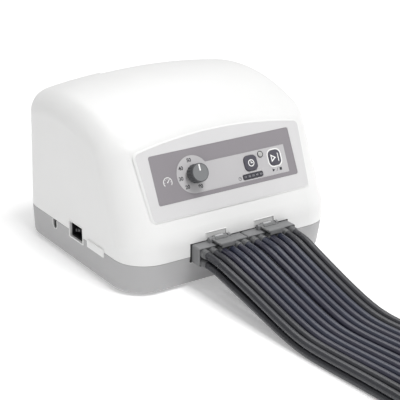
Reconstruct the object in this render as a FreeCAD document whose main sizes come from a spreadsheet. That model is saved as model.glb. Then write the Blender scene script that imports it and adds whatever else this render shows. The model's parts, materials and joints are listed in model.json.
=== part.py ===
import FreeCAD, Part
import math
import os
import re

# Table-top sequential compression pump: a white cover on a grey base, a sloped control panel, and two
# twelve-way hose plugs at the front. Millimetres. X is to the user's right, -Y is the front, +Z is up.
# The origin is on the plane that the feet rest on, under the middle of the case.

V = FreeCAD.Vector
doc = FreeCAD.newDocument("compression_pump")
sheet = doc.addObject("Spreadsheet::Sheet", "Sizes")

SIZES = [
    # case
    ("case_width", 268, "across the cover and the base at the seam"),
    ("case_depth", 258.2, "front to back at the seam"),
    ("wall", 3, "moulded wall of cover and base"),
    ("foot_rise", 3, "height of the feet below the base"),
    ("base_height", 35.5, "base, from its underside to the seam"),
    ("base_taper", 8, "how far the foot of the base front leans in"),
    ("base_back_taper", 3, "how far the foot of the base back leans in"),
    ("back_draft", 9.2, "how far the back of the cover leans in up to its crown"),
    ("base_edge_radius", 6, "rounded lower edge of the base"),
    ("band_height", 23.2, "upright front band of the cover"),
    ("slope_angle", 65, "control panel, from the table"),
    ("crown_rise", 37.5, "crown of the cover above the upper end of the panel"),
    ("dome_radius_wide", 719, "crown seen from the front"),
    ("dome_radius_deep", 226, "crown seen from the side"),
    ("dome_setback", 158.8, "crown, behind the front of the case"),
    ("corner_radius", 37.6, "upright corners in plan"),
    ("top_radius", 28, "rounded edge round the top"),
    ("seam_gap", 0.6, "groove along the seam"),
    ("seam_depth", 0.8, "depth of that groove"),
    ("lip_height", 3, "lip of the base inside the cover"),
    ("lip_thickness", 1.8, "thickness of that lip"),
    ("fit_gap", 0.3, "clearance round a piece in its opening"),
    # hand grip in the top rear edge
    ("grip_drop", 20.7, "grip recess floor below the crown"),
    ("grip_width", 109, "grip recess at its floor"),
    ("grip_flare", 60, "widening of the recess over its height"),
    ("grip_rise", 34, "height of the recess cutter"),
    ("grip_depth", 41.2, "recess, from the back of the case"),
    ("grip_centre", 28.5, "recess, from the middle of the case"),
    # left side
    ("inlet_opening_width", 30, "window of the mains inlet along the side"),
    ("inlet_opening_height", 18.4, "the same window upright"),
    ("inlet_setback", 123, "middle of the window, behind the front of the case"),
    ("inlet_lift", 2, "middle of the window above the seam"),
    ("inlet_body_depth", 24, "mains inlet behind its flange"),
    ("inlet_flange", 2, "thickness of the inlet flange"),
    ("inlet_flange_border", 3, "flange beyond the window"),
    ("inlet_rim", 1.6, "moulded wall round the inlet socket"),
    ("inlet_cavity", 16, "depth of the inlet socket"),
    ("blade_width", 4, "contact blade"),
    ("blade_thickness", 2, "contact blade"),
    ("blade_pitch", 7, "outer blades from the middle one"),
    ("notch_width", 9, "U notch in the base edge"),
    ("notch_depth", 11, "U notch below the seam"),
    ("notch_setback", 174, "U notch, behind the front of the case"),
    ("tab_width", 35, "tongue of the cover over the seam"),
    ("tab_drop", 5.5, "tongue below the seam"),
    ("tab_rise", 3, "tongue above the seam"),
    ("tab_thickness", 1.3, "how far the tongue stands out"),
    ("tab_setback", 78.5, "middle of the tongue, behind the front of the case"),
    # panel labels
    ("bezel_thickness", 1.2, "light surround"),
    ("bezel_foot", 22.8, "lower edge of the surround, up the slope"),
    ("bezel_width", 203, "surround at its lower edge"),
    ("bezel_flare", 10, "extra width at the top of the surround"),
    ("bezel_apex", 107, "top of the arch, up the slope"),
    ("bezel_arch", 10.5, "rise of that arch"),
    ("bezel_corner", 5, "rounded corners"),
    ("overlay_thickness", 0.9, "dark field"),
    ("overlay_width", 182.4, "dark field"),
    ("overlay_height", 53.4, "dark field"),
    ("overlay_foot", 38.7, "lower edge of the dark field"),
    ("overlay_corner", 2.5, "rounded corners"),
    ("plate_thickness", 1, "dial plate and key strip"),
    ("dial_radius", 20.6, "round end of the dial plate"),
    ("strip_foot", 43.5, "lower edge of the key strip"),
    ("strip_height", 31, "key strip"),
    ("strip_end", 80.5, "right end of the key strip"),
    ("label_gap", 0.1, "clearance between the labels"),
    # knob
    ("knob_x", -41.5, "knob axis across the panel"),
    ("knob_s", 64, "knob axis up the slope"),
    ("knob_radius", 11, "foot of the knob"),
    ("knob_top_radius", 10, "face of the knob"),
    ("knob_height", 15, "knob"),
    ("knob_gap", 0.8, "knob above the dial plate"),
    ("knob_recess_radius", 8.4, "hollow over the nut"),
    ("knob_recess", 4, "depth of that hollow"),
    ("flute_radius", 0.9, "grooves round the knob"),
    ("pointer_width", 1.6, "white line on the knob"),
    ("pointer_length", 7.6, "white line on the knob"),
    ("pointer_depth", 0.5, "inlay of that line"),
    ("pointer_inset", 0.8, "outer end of the line inside the knob's edge"),
    ("knob_roof", 3, "solid face of the knob over the shaft"),
    ("shaft_radius", 3, "regulator shaft"),
    ("bearing_gap", 0.05, "running clearance of shafts"),
    ("bushing_radius", 5, "regulator bushing"),
    ("nut_radius", 7, "across the corners of its nut"),
    ("nut_height", 2.4, "nut"),
    ("regulator_radius", 14, "regulator body"),
    ("regulator_length", 18, "regulator body"),
    # keys
    ("time_x", 32.6, "time key across the panel"),
    ("start_x", 65, "start key across the panel"),
    ("key_s", 62, "keys up the slope"),
    ("time_width", 17.6, "time key"),
    ("start_width", 16.6, "start key"),
    ("key_height", 17.8, "both keys, up the slope"),
    ("key_corner", 5, "rounded corners of the keys"),
    ("key_proud", 2.6, "key face above the slope"),
    ("key_travel", 1, "press, until the stem is a clearance off its switch"),
    ("key_flange", 1.6, "retaining rim round the key"),
    ("key_flange_thickness", 1.2, "the same rim"),
    ("key_stem_radius", 2.2, "stem to the switch"),
    ("key_gap", 0.25, "key in its opening"),
    ("lamp_x", 47.5, "timer lamp across the panel"),
    ("lamp_s", 69.1, "timer lamp up the slope"),
    ("lamp_radius", 3.7, "timer lamp"),
    ("lamp_proud", 1.8, "timer lamp above the slope"),
    ("lamp_stem_radius", 2.4, "light guide of the lamp"),
    ("display_x", 32.2, "time scale window"),
    ("display_s", 48, "time scale window"),
    ("display_length", 27, "time scale window"),
    ("display_height", 6.2, "time scale window"),
    ("display_proud", 1.3, "time scale window above the slope"),
    ("display_corner", 2, "rounded corners of the window"),
    ("display_rib", 21, "light guide of the scale"),
    # control board
    ("panel_recess", 1.4, "labels inlaid below the face of the slope"),
    ("board_depth", 12.3, "face of the board below the outer face of the slope"),
    ("board_thickness", 1.6, "board"),
    ("board_left", -18, "left edge of the board"),
    ("board_length", 106, "board across"),
    ("board_foot", 40, "lower edge of the board, up the slope"),
    ("board_height", 40, "board up the slope"),
    ("switch_size", 6, "tact switch"),
    ("switch_height", 6, "tact switch above the board"),
    ("light_height", 5, "lights above the board"),
    ("board_edge", 5, "posts from the edges of the board"),
    ("post_radius", 3, "board posts inside the cover"),
    ("stake_radius", 1.2, "heat stakes through the board"),
    # outlets
    ("outlet_centre", 2.2, "middle of the two plugs"),
    ("outlet_pitch", 63.6, "plug to plug"),
    ("outlet_lift", 3.5, "middle of the plugs above the seam"),
    ("outlet_gap", 0.7, "case opening round the plugs"),
    ("row_drop", 0.75, "middle of the two hose rows below the middle of the plug"),
    ("plug_width", 62.8, "hose plug"),
    ("plug_height", 20.6, "hose plug"),
    ("plug_depth", 15, "hose plug in front of the case"),
    ("plug_nose", 7, "part of the plug inside the socket"),
    ("plug_rim", 1.5, "shoulder round the nose"),
    ("plug_edge", 1.6, "rounded edges of the plug"),
    ("collar_wall", 2, "closed end of a collar in front of its air port"),
    ("socket_depth", 22, "socket housing"),
    ("hoses_per_row", 6, "hoses side by side on a plug"),
    ("hose_pitch", 10.3, "hose to hose in a row"),
    ("row_pitch", 10.5, "upper row over lower row"),
    ("barb_radius", 4.8, "collar where a hose starts"),
    ("barb_length", 7, "the same collar"),
    ("port_radius", 2.5, "air ports"),
    # latches
    ("latch_width", 20.5, "latch lever"),
    ("latch_reach", 24, "lever in front of the case"),
    ("latch_thickness", 2.4, "lever plate"),
    ("latch_axis_reach", 5.5, "pivot in front of the case"),
    ("latch_axis_rise", 3.4, "pivot above the plug"),
    ("latch_barrel_radius", 2.6, "barrel round the pin"),
    ("latch_pin_radius", 1.4, "pivot pin"),
    ("latch_lip", 2.6, "lip under the front of the lever"),
    ("latch_lip_drop", 4.2, "lip below the middle of the plate"),
    ("latch_tail", 0.8, "rear end of the lever before the case"),
    ("latch_edge", 2, "rounded corners of the lever"),
    ("latch_ear", 3, "ear beside the lever"),
    ("latch_pocket_width", 25.5, "shallow pocket in the cover over a latch"),
    ("latch_pocket_height", 8.6, "the same pocket"),
    ("latch_pocket_depth", 1.2, "the same pocket"),
    # distributor
    ("valve_length", 138, "distributor block across the case"),
    ("valve_depth", 34, "distributor block front to back"),
    ("valve_height", 36, "distributor block"),
    ("valve_setback", 40.5, "front of the block behind the front of the case"),
    ("rotor_radius", 12, "distributor rotor"),
    ("motor_radius", 23, "gearmotor"),
    ("motor_length", 26, "gearmotor"),
    ("motor_shaft_radius", 3, "gearmotor shaft"),
    ("tube_radius", 3.2, "air tubes inside the case"),
    ("barb_rise", 12, "air barb of the regulator"),
    ("barb_offset", 3, "barb below the knob's axis, down the slope"),
    ("barb_seat", 4, "barb inside the regulator"),
    ("air_line_x", 20, "supply tube across the case"),
    # compressor
    ("compressor_inset_x", 82, "compressor axis, from the right side of the case"),
    ("compressor_inset_y", 72.5, "compressor axis, from the back of the case"),
    ("compressor_radius", 30, "compressor barrel"),
    ("compressor_length", 104, "compressor barrel"),
    ("compressor_bore", 16, "radius of its bore"),
    ("piston_length", 40, "piston"),
    ("piston_stroke", 6, "piston, each way"),
    ("plate_width", 116, "compressor foot plate"),
    ("plate_depth", 66, "compressor foot plate"),
    ("foot_plate", 4, "its thickness"),
    ("mount_radius", 8, "rubber mounts"),
    ("mount_height", 12, "rubber mounts"),
    # transformer
    ("core_width", 58, "transformer core"),
    ("core_depth", 44, "transformer core"),
    ("core_height", 50, "transformer core"),
    ("coil_overhang", 9, "winding beyond the core"),
    ("coil_width", 35, "winding across the core"),
    ("coil_height", 30, "winding"),
    ("coil_corner", 4.5, "rounded corners of the winding"),
    ("transformer_inset_x", 56, "middle of the transformer, from the left side of the case"),
    ("transformer_inset_y", 62.5, "the same, from the back of the case"),
    # fasteners and feet
    ("foot_radius", 9, "rubber feet"),
    ("foot_inset_x", 36, "feet, from the sides of the case"),
    ("foot_inset_y", 36.5, "feet, from its front and back"),
    ("screw_radius", 2, "case screws"),
    ("screw_head_radius", 3.8, "case screws"),
    ("screw_head", 2.4, "case screws"),
    ("screw_inset_x", 13, "case screws, from the sides of the case"),
    ("screw_inset_y", 44.5, "case screws, from its front and back"),
    ("pillar_radius", 5.5, "screw pillars of the base"),
    ("screw_sink", 25, "well of the screw head above the underside"),
    ("lug_rib", 2, "half the thickness of a lug's rib"),
    ("lug_height", 14, "screw lugs of the cover"),
    ("thread_end", 2, "closed end of a lug above its thread"),
    ("overlap", 1, "how far fused pieces and cutters run past each other"),
    # vents in the back
    ("vent_width", 3, "slot"),
    ("vent_height", 26, "slot"),
    ("vent_pitch", 7.5, "slot to slot"),
    ("vent_lift", 31.5, "middle of the slots above the seam"),
    # hoses
    ("hose_diameter", 8.5, "outside"),
    ("layer_pitch", 8.8, "hose over hose in the roll"),
    ("roll_radius", 91, "outside of the rolled hoses"),
    ("roll_core", 53, "hole in the middle of the roll"),
    ("roll_reach", 429.9, "middle of the roll before the front of the case"),
    ("roll_drift", 12, "roll to the right of the plugs"),
    ("roll_entry", 64.4, "flat stretch under the roll, from its middle"),
    ("tail_radius", 47.05, "outside of the last bend, inside the roll"),
    ("tail_angle", 70, "turn of the last bend"),
    ("tail_shift", 20.4, "last bend behind the middle of the roll"),
    ("tail_drop", 0.8, "last bend below the middle of the roll"),
    ("connector_depth", 34, "garment connector along the hoses"),
    ("connector_height", 19, "garment connector"),
    ("tie_width", 10, "tie round the roll"),
    ("tie_thickness", 1.1, "tie"),
]

for row, (alias, value, note) in enumerate(SIZES, start=1):
    sheet.set(f"A{row}", alias)
    sheet.set(f"B{row}", str(value))
    sheet.set(f"C{row}", note)
    sheet.setAlias(f"B{row}", alias)
doc.recompute()

ALIASES = {alias for alias, _, _ in SIZES}
WORD = re.compile(r"[a-z][a-z_]*")
HOSES_PER_ROW = round(float(sheet.hoses_per_row))
FLUTES = 18
VENTS = 12
SIDES = (("left", -1), ("right", 1))
ROWS = (("lower", -1), ("upper", 1))
CORNERS = ((-1, -1), (1, -1), (1, 1), (-1, 1))

# Places that several pieces share, as expressions of the sheet.
SEAM = "(foot_rise + base_height)"
BREAK = "(foot_rise + base_height + band_height)"
CROWN = f"({BREAK} + bezel_apex * sin(slope_angle) + crown_rise)"
FLOOR = "(foot_rise + wall)"
FRONT = "(-case_depth / 2)"
BACK = "(case_depth / 2)"
LEFT = "(-case_width / 2)"
INLAY = "(-panel_recess)"
GRIP_FLOOR = f"({CROWN} - grip_drop)"
INLET_Y = f"({FRONT} + inlet_setback)"
INLET_Z = f"({SEAM} + inlet_lift)"
OUTLET_Z = f"({SEAM} + outlet_lift)"
PLUG_TOP = f"({OUTLET_Z} + plug_height / 2)"
PLUG_FOOT = f"({OUTLET_Z} - plug_height / 2)"
BARB_TIP = f"({FRONT} - plug_depth - barb_length)"
LATCH_Y = f"({FRONT} - latch_axis_reach)"
LATCH_Z = f"({PLUG_TOP} + latch_axis_rise)"
VALVE_FRONT = f"({FRONT} + valve_setback)"
VALVE_Y = f"({VALVE_FRONT} + valve_depth / 2)"
VALVE_TOP = f"({OUTLET_Z} + valve_height / 2)"
COMPRESSOR_X = "(case_width / 2 - compressor_inset_x)"
COMPRESSOR_Y = f"({BACK} - compressor_inset_y)"
COMPRESSOR_Z = f"({FLOOR} + mount_height + foot_plate + compressor_radius)"
REGULATOR_Y = (f"({FRONT} + (knob_s - barb_offset) * cos(slope_angle)"
               " + (wall + regulator_length) * sin(slope_angle))")
REGULATOR_LOW = (f"({BREAK} + (knob_s - barb_offset) * sin(slope_angle)"
                 " - (wall + regulator_length) * cos(slope_angle) + barb_seat - barb_rise)")
ROLL_Y = f"({FRONT} - roll_reach)"
ROLL_WIDTH = "((hoses_per_row - 1) * hose_pitch + hose_diameter)"
ROLL_LAYERS = "(layer_pitch + hose_diameter)"
SCREWS = [(f"{sx} * (case_width / 2 - screw_inset_x)", f"{sy} * (case_depth / 2 - screw_inset_y)")
          for sx, sy in CORNERS]
BOARD_POSTS = [(x, s) for x in ("board_left + board_edge", "board_left + board_length - board_edge")
               for s in ("board_foot + board_edge", "board_foot + board_height - board_edge")]
NODES = {}
TURNED_TO = {
    "z": FreeCAD.Rotation(),
    "x": FreeCAD.Rotation(V(0, 1, 0), 90),
    "y": FreeCAD.Rotation(V(1, 0, 0), -90),
}


def size(alias):
    """A size of the sheet, as a number."""
    return float(getattr(sheet, alias))


def bound(text):
    """The expression with every alias written as a cell of the sheet."""
    return WORD.sub(lambda m: "Sizes." + m.group(0) if m.group(0) in ALIASES else m.group(0), text)


def bind(obj, **expressions):
    """Bind properties of an object to expressions."""
    for name, text in expressions.items():
        obj.setExpression(name, bound(text))


def place(obj, at, turn=None):
    """Bind an object's place, after an optional turn."""
    if turn is not None:
        obj.Placement = FreeCAD.Placement(V(0, 0, 0), turn)
    for axis, text in zip("xyz", at):
        obj.setExpression("Placement.Base." + axis, bound(text))
    return obj


def box(name, lengths, at):
    """A box with its lowest corner at a place."""
    obj = doc.addObject("Part::Box", name)
    bind(obj, Length=lengths[0], Width=lengths[1], Height=lengths[2])
    return place(obj, at)


def block(name, lengths, centre):
    """A box centred on a place."""
    at = [f"({c}) - ({n}) / 2" for c, n in zip(centre, lengths)]
    return box(name, lengths, at)


def number(text):
    """The value of an expression of the sheet, by way of a throwaway box."""
    probe = doc.addObject("Part::Box", "probe")
    place(probe, (text, "0", "0"))
    doc.recompute()
    value = probe.Placement.Base.x
    doc.removeObject(probe.Name)
    return value


def rod(name, radius, length, at, axis="z"):
    """A cylinder that starts at a place and runs along an axis."""
    obj = doc.addObject("Part::Cylinder", name)
    bind(obj, Radius=radius, Height=length)
    return place(obj, at, TURNED_TO[axis])


def fuse(name, *shapes):
    """Several objects as one."""
    obj = doc.addObject("Part::MultiFuse", name)
    obj.Shapes = list(shapes)
    return obj


def group(name, *shapes):
    """Several separate solids as one object."""
    obj = doc.addObject("Part::Compound", name)
    obj.Links = list(shapes)
    return obj


def cut(name, base, *tools):
    """An object less others."""
    obj = doc.addObject("Part::Cut", name)
    obj.Base = base
    obj.Tool = tools[0] if len(tools) == 1 else fuse(name + "_tools", *tools)
    return obj


def common(name, one, other):
    """What two objects share."""
    obj = doc.addObject("Part::Common", name)
    obj.Base = one
    obj.Tool = other
    return obj


def rounded(name, base, radius, wanted):
    """An object with the wanted edges rounded."""
    doc.recompute()
    obj = doc.addObject("Part::Fillet", name)
    obj.Base = base
    obj.Edges = [(i, radius, radius) for i, e in enumerate(base.Shape.Edges, start=1) if wanted(e)]
    doc.recompute()
    return obj


def runs_along(edge, direction, tolerance=0.02):
    """Whether an edge is straight and parallel to a direction."""
    if edge.Curve.TypeId != "Part::GeomLine":
        return False
    span = edge.Vertexes[-1].Point - edge.Vertexes[0].Point
    return span.Length > 0.01 and (span / span.Length).cross(direction).Length < tolerance


def near(value, other, tolerance=0.05):
    """Whether two numbers are nearly the same."""
    return abs(value - other) < tolerance


def onto_slope(obj):
    """Put an object, made flat with its foot on the X axis, onto the sloped panel."""
    turn = FreeCAD.Rotation(V(1, 0, 0), size("slope_angle"))
    return place(obj, ("0", FRONT, BREAK), turn)


# ---------------------------------------------------------------- case

def leaning_block(name, y, z, lean, behind):
    """A large block behind or before a plane that leans by an angle, through a line across the case."""
    slab = box(name, ("2 * case_width", "case_depth", f"4 * {CROWN}"), ("0", "0", "0"))
    turn = FreeCAD.Rotation(V(1, 0, 0), lean)
    reach = "0" if behind else "case_depth"
    return place(slab, (f"2 * {LEFT}",
                        f"{y} - {reach} * cos({lean} deg) + 2 * {CROWN} * sin({lean} deg)",
                        f"{z} - {reach} * sin({lean} deg) - 2 * {CROWN} * cos({lean} deg)"), turn)


def is_wall_edge(edge, lean_directions):
    """Whether an edge runs up a corner of the walls, upright or along one of their leans."""
    return any(runs_along(edge, direction) for direction in (V(0, 0, 1), *lean_directions))


def up_along(lean):
    """The direction up a plane across the case that leans back by an angle from upright."""
    return V(0, -math.sin(math.radians(lean)), math.cos(math.radians(lean)))


def shell_box(name, inset, foot, top):
    """The block that a shell is shaped from, drawn in by an inset."""
    return box(name, (f"case_width - 2 * {inset}", f"case_depth - 2 * {inset}", f"{top} - {foot}"),
               (f"{LEFT} + {inset}", f"{FRONT} + {inset}", foot))


def cover_form(name, inset, foot):
    """The outside of the cover, drawn in by an inset, from a height upward."""
    inner = number(inset)
    slope = size("slope_angle") - 90
    draft = math.degrees(math.atan2(size("back_draft"), number(f"{CROWN} - {SEAM}")))
    front = leaning_block(name + "_front", f"{FRONT} + {inset} * sin(slope_angle)",
                          f"{BREAK} - {inset} * cos(slope_angle)", slope, False)
    back = leaning_block(name + "_back", f"{BACK} - {inset}", foot, draft, True)
    body = cut(name + "_sloped", shell_box(name + "_box", inset, foot, CROWN), front, back)
    front_y = number(f"{FRONT} + {inset}")
    above_seam = number(f"{SEAM} + band_height / 2")

    def corner(edge):
        at = edge.CenterOfMass
        at_break = runs_along(edge, V(1, 0, 0)) and near(at.y, front_y) and at.z > above_seam
        return at_break or is_wall_edge(edge, (up_along(slope), up_along(draft)))

    cornered = rounded(name + "_cornered", body, size("corner_radius") - inner, corner)
    dome = doc.addObject("Part::Torus", name + "_dome")
    bind(dome, Radius1="dome_radius_wide - dome_radius_deep", Radius2=f"dome_radius_deep - {inset}")
    place(dome, ("0", f"{FRONT} + dome_setback", f"{CROWN} - dome_radius_wide"),
          FreeCAD.Rotation(V(1, 0, 0), 90))
    domed = common(name + "_domed", cornered, dome)
    doc.recompute()
    major = size("dome_radius_wide") - size("dome_radius_deep")
    rim = {e.hashCode() for f in domed.Shape.Faces
           if f.Surface.TypeId == "Part::GeomToroid" and near(f.Surface.MajorRadius, major) for e in f.Edges}
    return rounded(name + "_rounded", domed, size("top_radius") - inner, lambda e: e.hashCode() in rim)


def grip_cutter(name, grow):
    """The hand grip recess, grown by a wall."""
    wedge = doc.addObject("Part::Wedge", name)
    half = f"(grip_width / 2 + {grow})"
    bind(wedge, Xmin=f"-{half}", Xmax=half, X2min=f"-{half} - grip_flare", X2max=f"{half} + grip_flare",
         Ymin="0", Ymax="grip_rise", Zmin="0", Zmax=f"grip_depth + {grow}",
         Z2min="0", Z2max=f"grip_depth + {grow} + grip_rise / 2")
    return place(wedge, ("grip_centre", BACK, f"{GRIP_FLOOR} - {grow}"), FreeCAD.Rotation(V(1, 0, 0), 90))


def base_form(name, inset, foot, top):
    """The outside of the base, drawn in by an inset, between two heights."""
    inner = number(inset)
    lean = math.degrees(math.atan2(size("base_taper"), size("base_height")))
    back_lean = -math.degrees(math.atan2(size("base_back_taper"), size("base_height")))
    leaned = cut(name + "_leaned", shell_box(name + "_box", inset, foot, top),
                 leaning_block(name + "_front", f"{FRONT} + {inset}", top, lean, False),
                 leaning_block(name + "_back", f"{BACK} - {inset}", top, back_lean, True))
    cornered = rounded(name + "_cornered", leaned, size("corner_radius") - inner,
                       lambda e: is_wall_edge(e, (up_along(lean), up_along(back_lean))))
    low = size("foot_rise") + inner
    return rounded(name + "_rounded", cornered, size("base_edge_radius") - inner / 2,
                   lambda e: near(e.BoundBox.ZMax, low) and near(e.BoundBox.ZMin, low))


def rim_ring(name, foot, height, outer, inner):
    """A ring that follows the case walls, between two insets."""
    rings = []
    for part, inset, grow in (("_out", outer, "0"), ("_in", inner, "overlap")):
        ring = shell_box(name + part, inset, f"({foot} - {grow})", f"({foot} + {height} + {grow})")
        radius = size("corner_radius") - number(inset)
        rings.append(rounded(name + part + "_corners", ring, radius, lambda e: runs_along(e, V(0, 0, 1))))
    return cut(name, rings[0], rings[1])


def rounded_block(name, lengths, centre, radius):
    """A flat block with its upright edges rounded."""
    return rounded(name, block(name + "_block", lengths, centre), radius, lambda e: runs_along(e, V(0, 0, 1)))


def label(node, obj):
    """Give a finished sub-part its name."""
    obj.Label = node
    NODES[node] = obj
    return obj


# ---------------------------------------------------------------- panel, drawn flat

def bezel_outline(name, foot, thickness):
    """The arched outline of the light surround."""
    wedge = doc.addObject("Part::Wedge", name + "_wedge")
    low = "bezel_width / 2"
    high = "(bezel_width / 2 + bezel_flare / 2)"
    bind(wedge, Xmin=f"-{low}", Xmax=low, X2min=f"-{high}", X2max=high, Ymin="bezel_foot", Ymax="bezel_apex",
         Zmin=foot, Zmax=f"{foot} + {thickness}", Z2min=foot, Z2max=f"{foot} + {thickness}")
    arch_radius = f"(({high} ^ 2 + bezel_arch ^ 2) / (2 * bezel_arch))"
    arch = rod(name + "_arch", arch_radius, f"{thickness} + 2 * overlap",
               ("0", f"bezel_apex - {arch_radius}", f"{foot} - overlap"))
    return rounded(name, common(name + "_sharp", wedge, arch), size("bezel_corner"),
                   lambda e: runs_along(e, V(0, 0, 1)))


def overlay_outline(name, grow, height):
    """The dark field, grown by a clearance, from the floor of the inlay up to a height."""
    return rounded_block(name, (f"overlay_width + 2 * {grow}", f"overlay_height + 2 * {grow}",
                                f"panel_recess + {height}"),
                         ("0", "overlay_foot + overlay_height / 2", f"({height} - panel_recess) / 2"),
                         size("overlay_corner"))


def plate_outline(name, grow, height):
    """The dial plate with the key strip that runs from it, grown by a clearance."""
    thickness = f"panel_recess + {height}"
    dial = rod(name + "_dial", f"dial_radius + {grow}", thickness, ("knob_x", "knob_s", INLAY))
    strip = box(name + "_strip", (f"strip_end - knob_x + {grow}", f"strip_height + 2 * {grow}", thickness),
                ("knob_x", f"strip_foot - {grow}", INLAY))
    return fuse(name, dial, strip)


def key_outline(name, x, width, thickness, foot, grow):
    """The rounded square of a key, grown by a clearance, from a foot through a thickness."""
    return rounded_block(name, (f"{width} + 2 * {grow}", f"key_height + 2 * {grow}", thickness),
                         (x, "key_s", f"{foot} + ({thickness}) / 2"), size("key_corner"))


def panel_holes(name):
    """What passes through both the panel and the dial plate: the bushing and the keys."""
    deep = ("4 * wall", "-2 * wall")
    return [
        rod(name + "_bushing", "bushing_radius + fit_gap", deep[0], ("knob_x", "knob_s", deep[1])),
        key_outline(name + "_time", "time_x", "time_width", *deep, "key_gap"),
        key_outline(name + "_start", "start_x", "start_width", *deep, "key_gap"),
    ]


def make_labels():
    """Surround, dark field and dial plate, each inlaid in the slope."""
    blank = bezel_outline("surround_blank", INLAY, "(panel_recess + bezel_thickness)")
    opening = overlay_outline("surround_opening", "label_gap", "2 * wall")
    label("panel_bezel", onto_slope(cut("surround", blank, opening)))

    field = cut("field", overlay_outline("field_blank", "0", "overlay_thickness"),
                plate_outline("field_opening", "label_gap", "2 * wall"))
    label("control_overlay", onto_slope(field))

    holes = panel_holes("plate")
    holes.append(rod("plate_lamp", "lamp_radius + label_gap", "4 * wall", ("lamp_x", "lamp_s", "-2 * wall")))
    window = ("display_length + 2 * label_gap", "display_height + 2 * label_gap", "4 * wall")
    holes.append(rounded_block("plate_scale", window, ("display_x", "display_s", "0"),
                               size("display_corner")))
    blank = plate_outline("plate_blank", "0", "plate_thickness")
    label("dial_plate", onto_slope(cut("plate", blank, *holes)))


def make_keys():
    """The two square keys: cap through the panel, rim under the wall, stem to the switch."""
    under = "(wall + label_gap)"
    rim_foot = f"({under} + key_flange_thickness)"
    stem_foot = "(board_depth - switch_height - key_travel - fit_gap)"
    keys = (("time_button", "time_x", "time_width"), ("start_button", "start_x", "start_width"))
    for node, x, width in keys:
        cap = key_outline(node + "_cap", x, width, f"key_proud + {under}", f"-{under}", "0")
        rim = key_outline(node + "_rim", x, width, "key_flange_thickness", f"-{rim_foot}", "key_flange")
        stem = rod(node + "_stem", "key_stem_radius", f"{stem_foot} - {under}", (x, "key_s", f"-{stem_foot}"))
        label(node, onto_slope(fuse(node + "_solid", cap, rim, stem)))


def make_lamp_and_scale():
    """Lamp lens and time scale window, seated in the inlay with a light guide below."""
    lens = rod("lamp_lens", "lamp_radius", "panel_recess + lamp_proud", ("lamp_x", "lamp_s", INLAY))
    stem = rod("lamp_stem", "lamp_stem_radius", "wall", ("lamp_x", "lamp_s", "-wall"))
    label("timer_lamp", onto_slope(fuse("lamp", lens, stem)))
    window = rounded_block("scale_window",
                           ("display_length", "display_height", "panel_recess + display_proud"),
                           ("display_x", "display_s", "(display_proud - panel_recess) / 2"),
                           size("display_corner"))
    rib = block("scale_rib", ("display_rib", "lamp_stem_radius", "wall"),
                ("display_x", "display_s", "-wall / 2"))
    label("time_display", onto_slope(fuse("scale", window, rib)))


def make_knob():
    """The pressure knob with its white line, on the regulator's shaft."""
    foot = "(plate_thickness + knob_gap)"
    at = ("knob_x", "knob_s", foot)
    cone = doc.addObject("Part::Cone", "knob_cone")
    bind(cone, Radius1="knob_radius", Radius2="knob_top_radius", Height="knob_height")
    place(cone, at)
    flutes = []
    for i in range(FLUTES):
        turn = f"{360 / FLUTES * (i + 0.5)} deg"
        rim_point = (f"knob_x + knob_radius * cos({turn})", f"knob_s + knob_radius * sin({turn})")
        flutes.append(rod("flute", "flute_radius", "knob_height + 2 * overlap",
                          (*rim_point, f"{foot} - overlap")))
    hollow = rod("knob_hollow", "knob_recess_radius", "knob_recess", at)
    shaft_top = f"({foot} + knob_height - knob_roof)"
    bore = rod("knob_bore", "shaft_radius", "knob_height - knob_roof", at)
    line = block("knob_line", ("pointer_width", "pointer_length", "pointer_depth"),
                 ("knob_x", "knob_s + knob_top_radius - pointer_inset - pointer_length / 2",
                  f"{foot} + knob_height - pointer_depth / 2"))
    label("knob_pointer", onto_slope(group("pointer", line)))
    label("pressure_knob", onto_slope(cut("knob", cone, hollow, bore, line, *flutes)))
    shaft_foot = "(wall + regulator_length - knob_roof)"
    shaft = rod("shaft", "shaft_radius", f"{shaft_top} + {shaft_foot}",
                ("knob_x", "knob_s", f"-{shaft_foot}"))
    label("regulator_shaft", onto_slope(group("shaft_turned", shaft)))


def make_regulator():
    """The pressure regulator: body under the wall, threaded bushing through it, nut, air barb."""
    body = rod("regulator_can", "regulator_radius", "regulator_length",
               ("knob_x", "knob_s", "-wall - regulator_length"))
    bushing = rod("regulator_bushing", "bushing_radius", "wall + plate_thickness + nut_height + overlap",
                  ("knob_x", "knob_s", "-wall"))
    nut = doc.addObject("Part::Prism", "regulator_nut")
    nut.Polygon = 6
    bind(nut, Circumradius="nut_radius", Height="nut_height")
    place(nut, ("knob_x", "knob_s", "plate_thickness"))
    bore = rod("regulator_bore", "shaft_radius + bearing_gap",
               "2 * wall + regulator_length + plate_thickness + nut_height",
               ("knob_x", "knob_s", "-wall - regulator_length + overlap"))
    can = onto_slope(fuse("regulator_blank", body, bushing, nut))
    barb = rod("regulator_barb", "port_radius", "barb_rise", ("knob_x", REGULATOR_Y, REGULATOR_LOW))
    bored = cut("regulator", fuse("regulator_barbed", can, barb), onto_slope(group("regulator_turned", bore)))
    label("regulator_body", bored)


def make_board():
    """The control board: switches under the keys, a lamp and a scale light, holes for the posts."""
    board = box("board", ("board_length", "board_height", "board_thickness"),
                ("board_left", "board_foot", "-board_depth - board_thickness"))
    fittings = [board]
    for x in ("time_x", "start_x"):
        fittings.append(block("board_switch", ("switch_size", "switch_size", "switch_height"),
                              (x, "key_s", "switch_height / 2 - board_depth")))
    fittings.append(rod("board_lamp", "lamp_stem_radius", "light_height",
                        ("lamp_x", "lamp_s", "-board_depth")))
    fittings.append(block("board_scale", ("display_rib", "lamp_stem_radius", "light_height"),
                          ("display_x", "display_s", "light_height / 2 - board_depth")))
    holes = [rod("board_hole", "stake_radius + bearing_gap", "board_thickness + 2 * overlap",
                 (x, s, "-board_depth - board_thickness - overlap")) for x, s in BOARD_POSTS]
    label("control_board", onto_slope(cut("board_drilled", fuse("board_filled", *fittings), *holes)))


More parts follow.
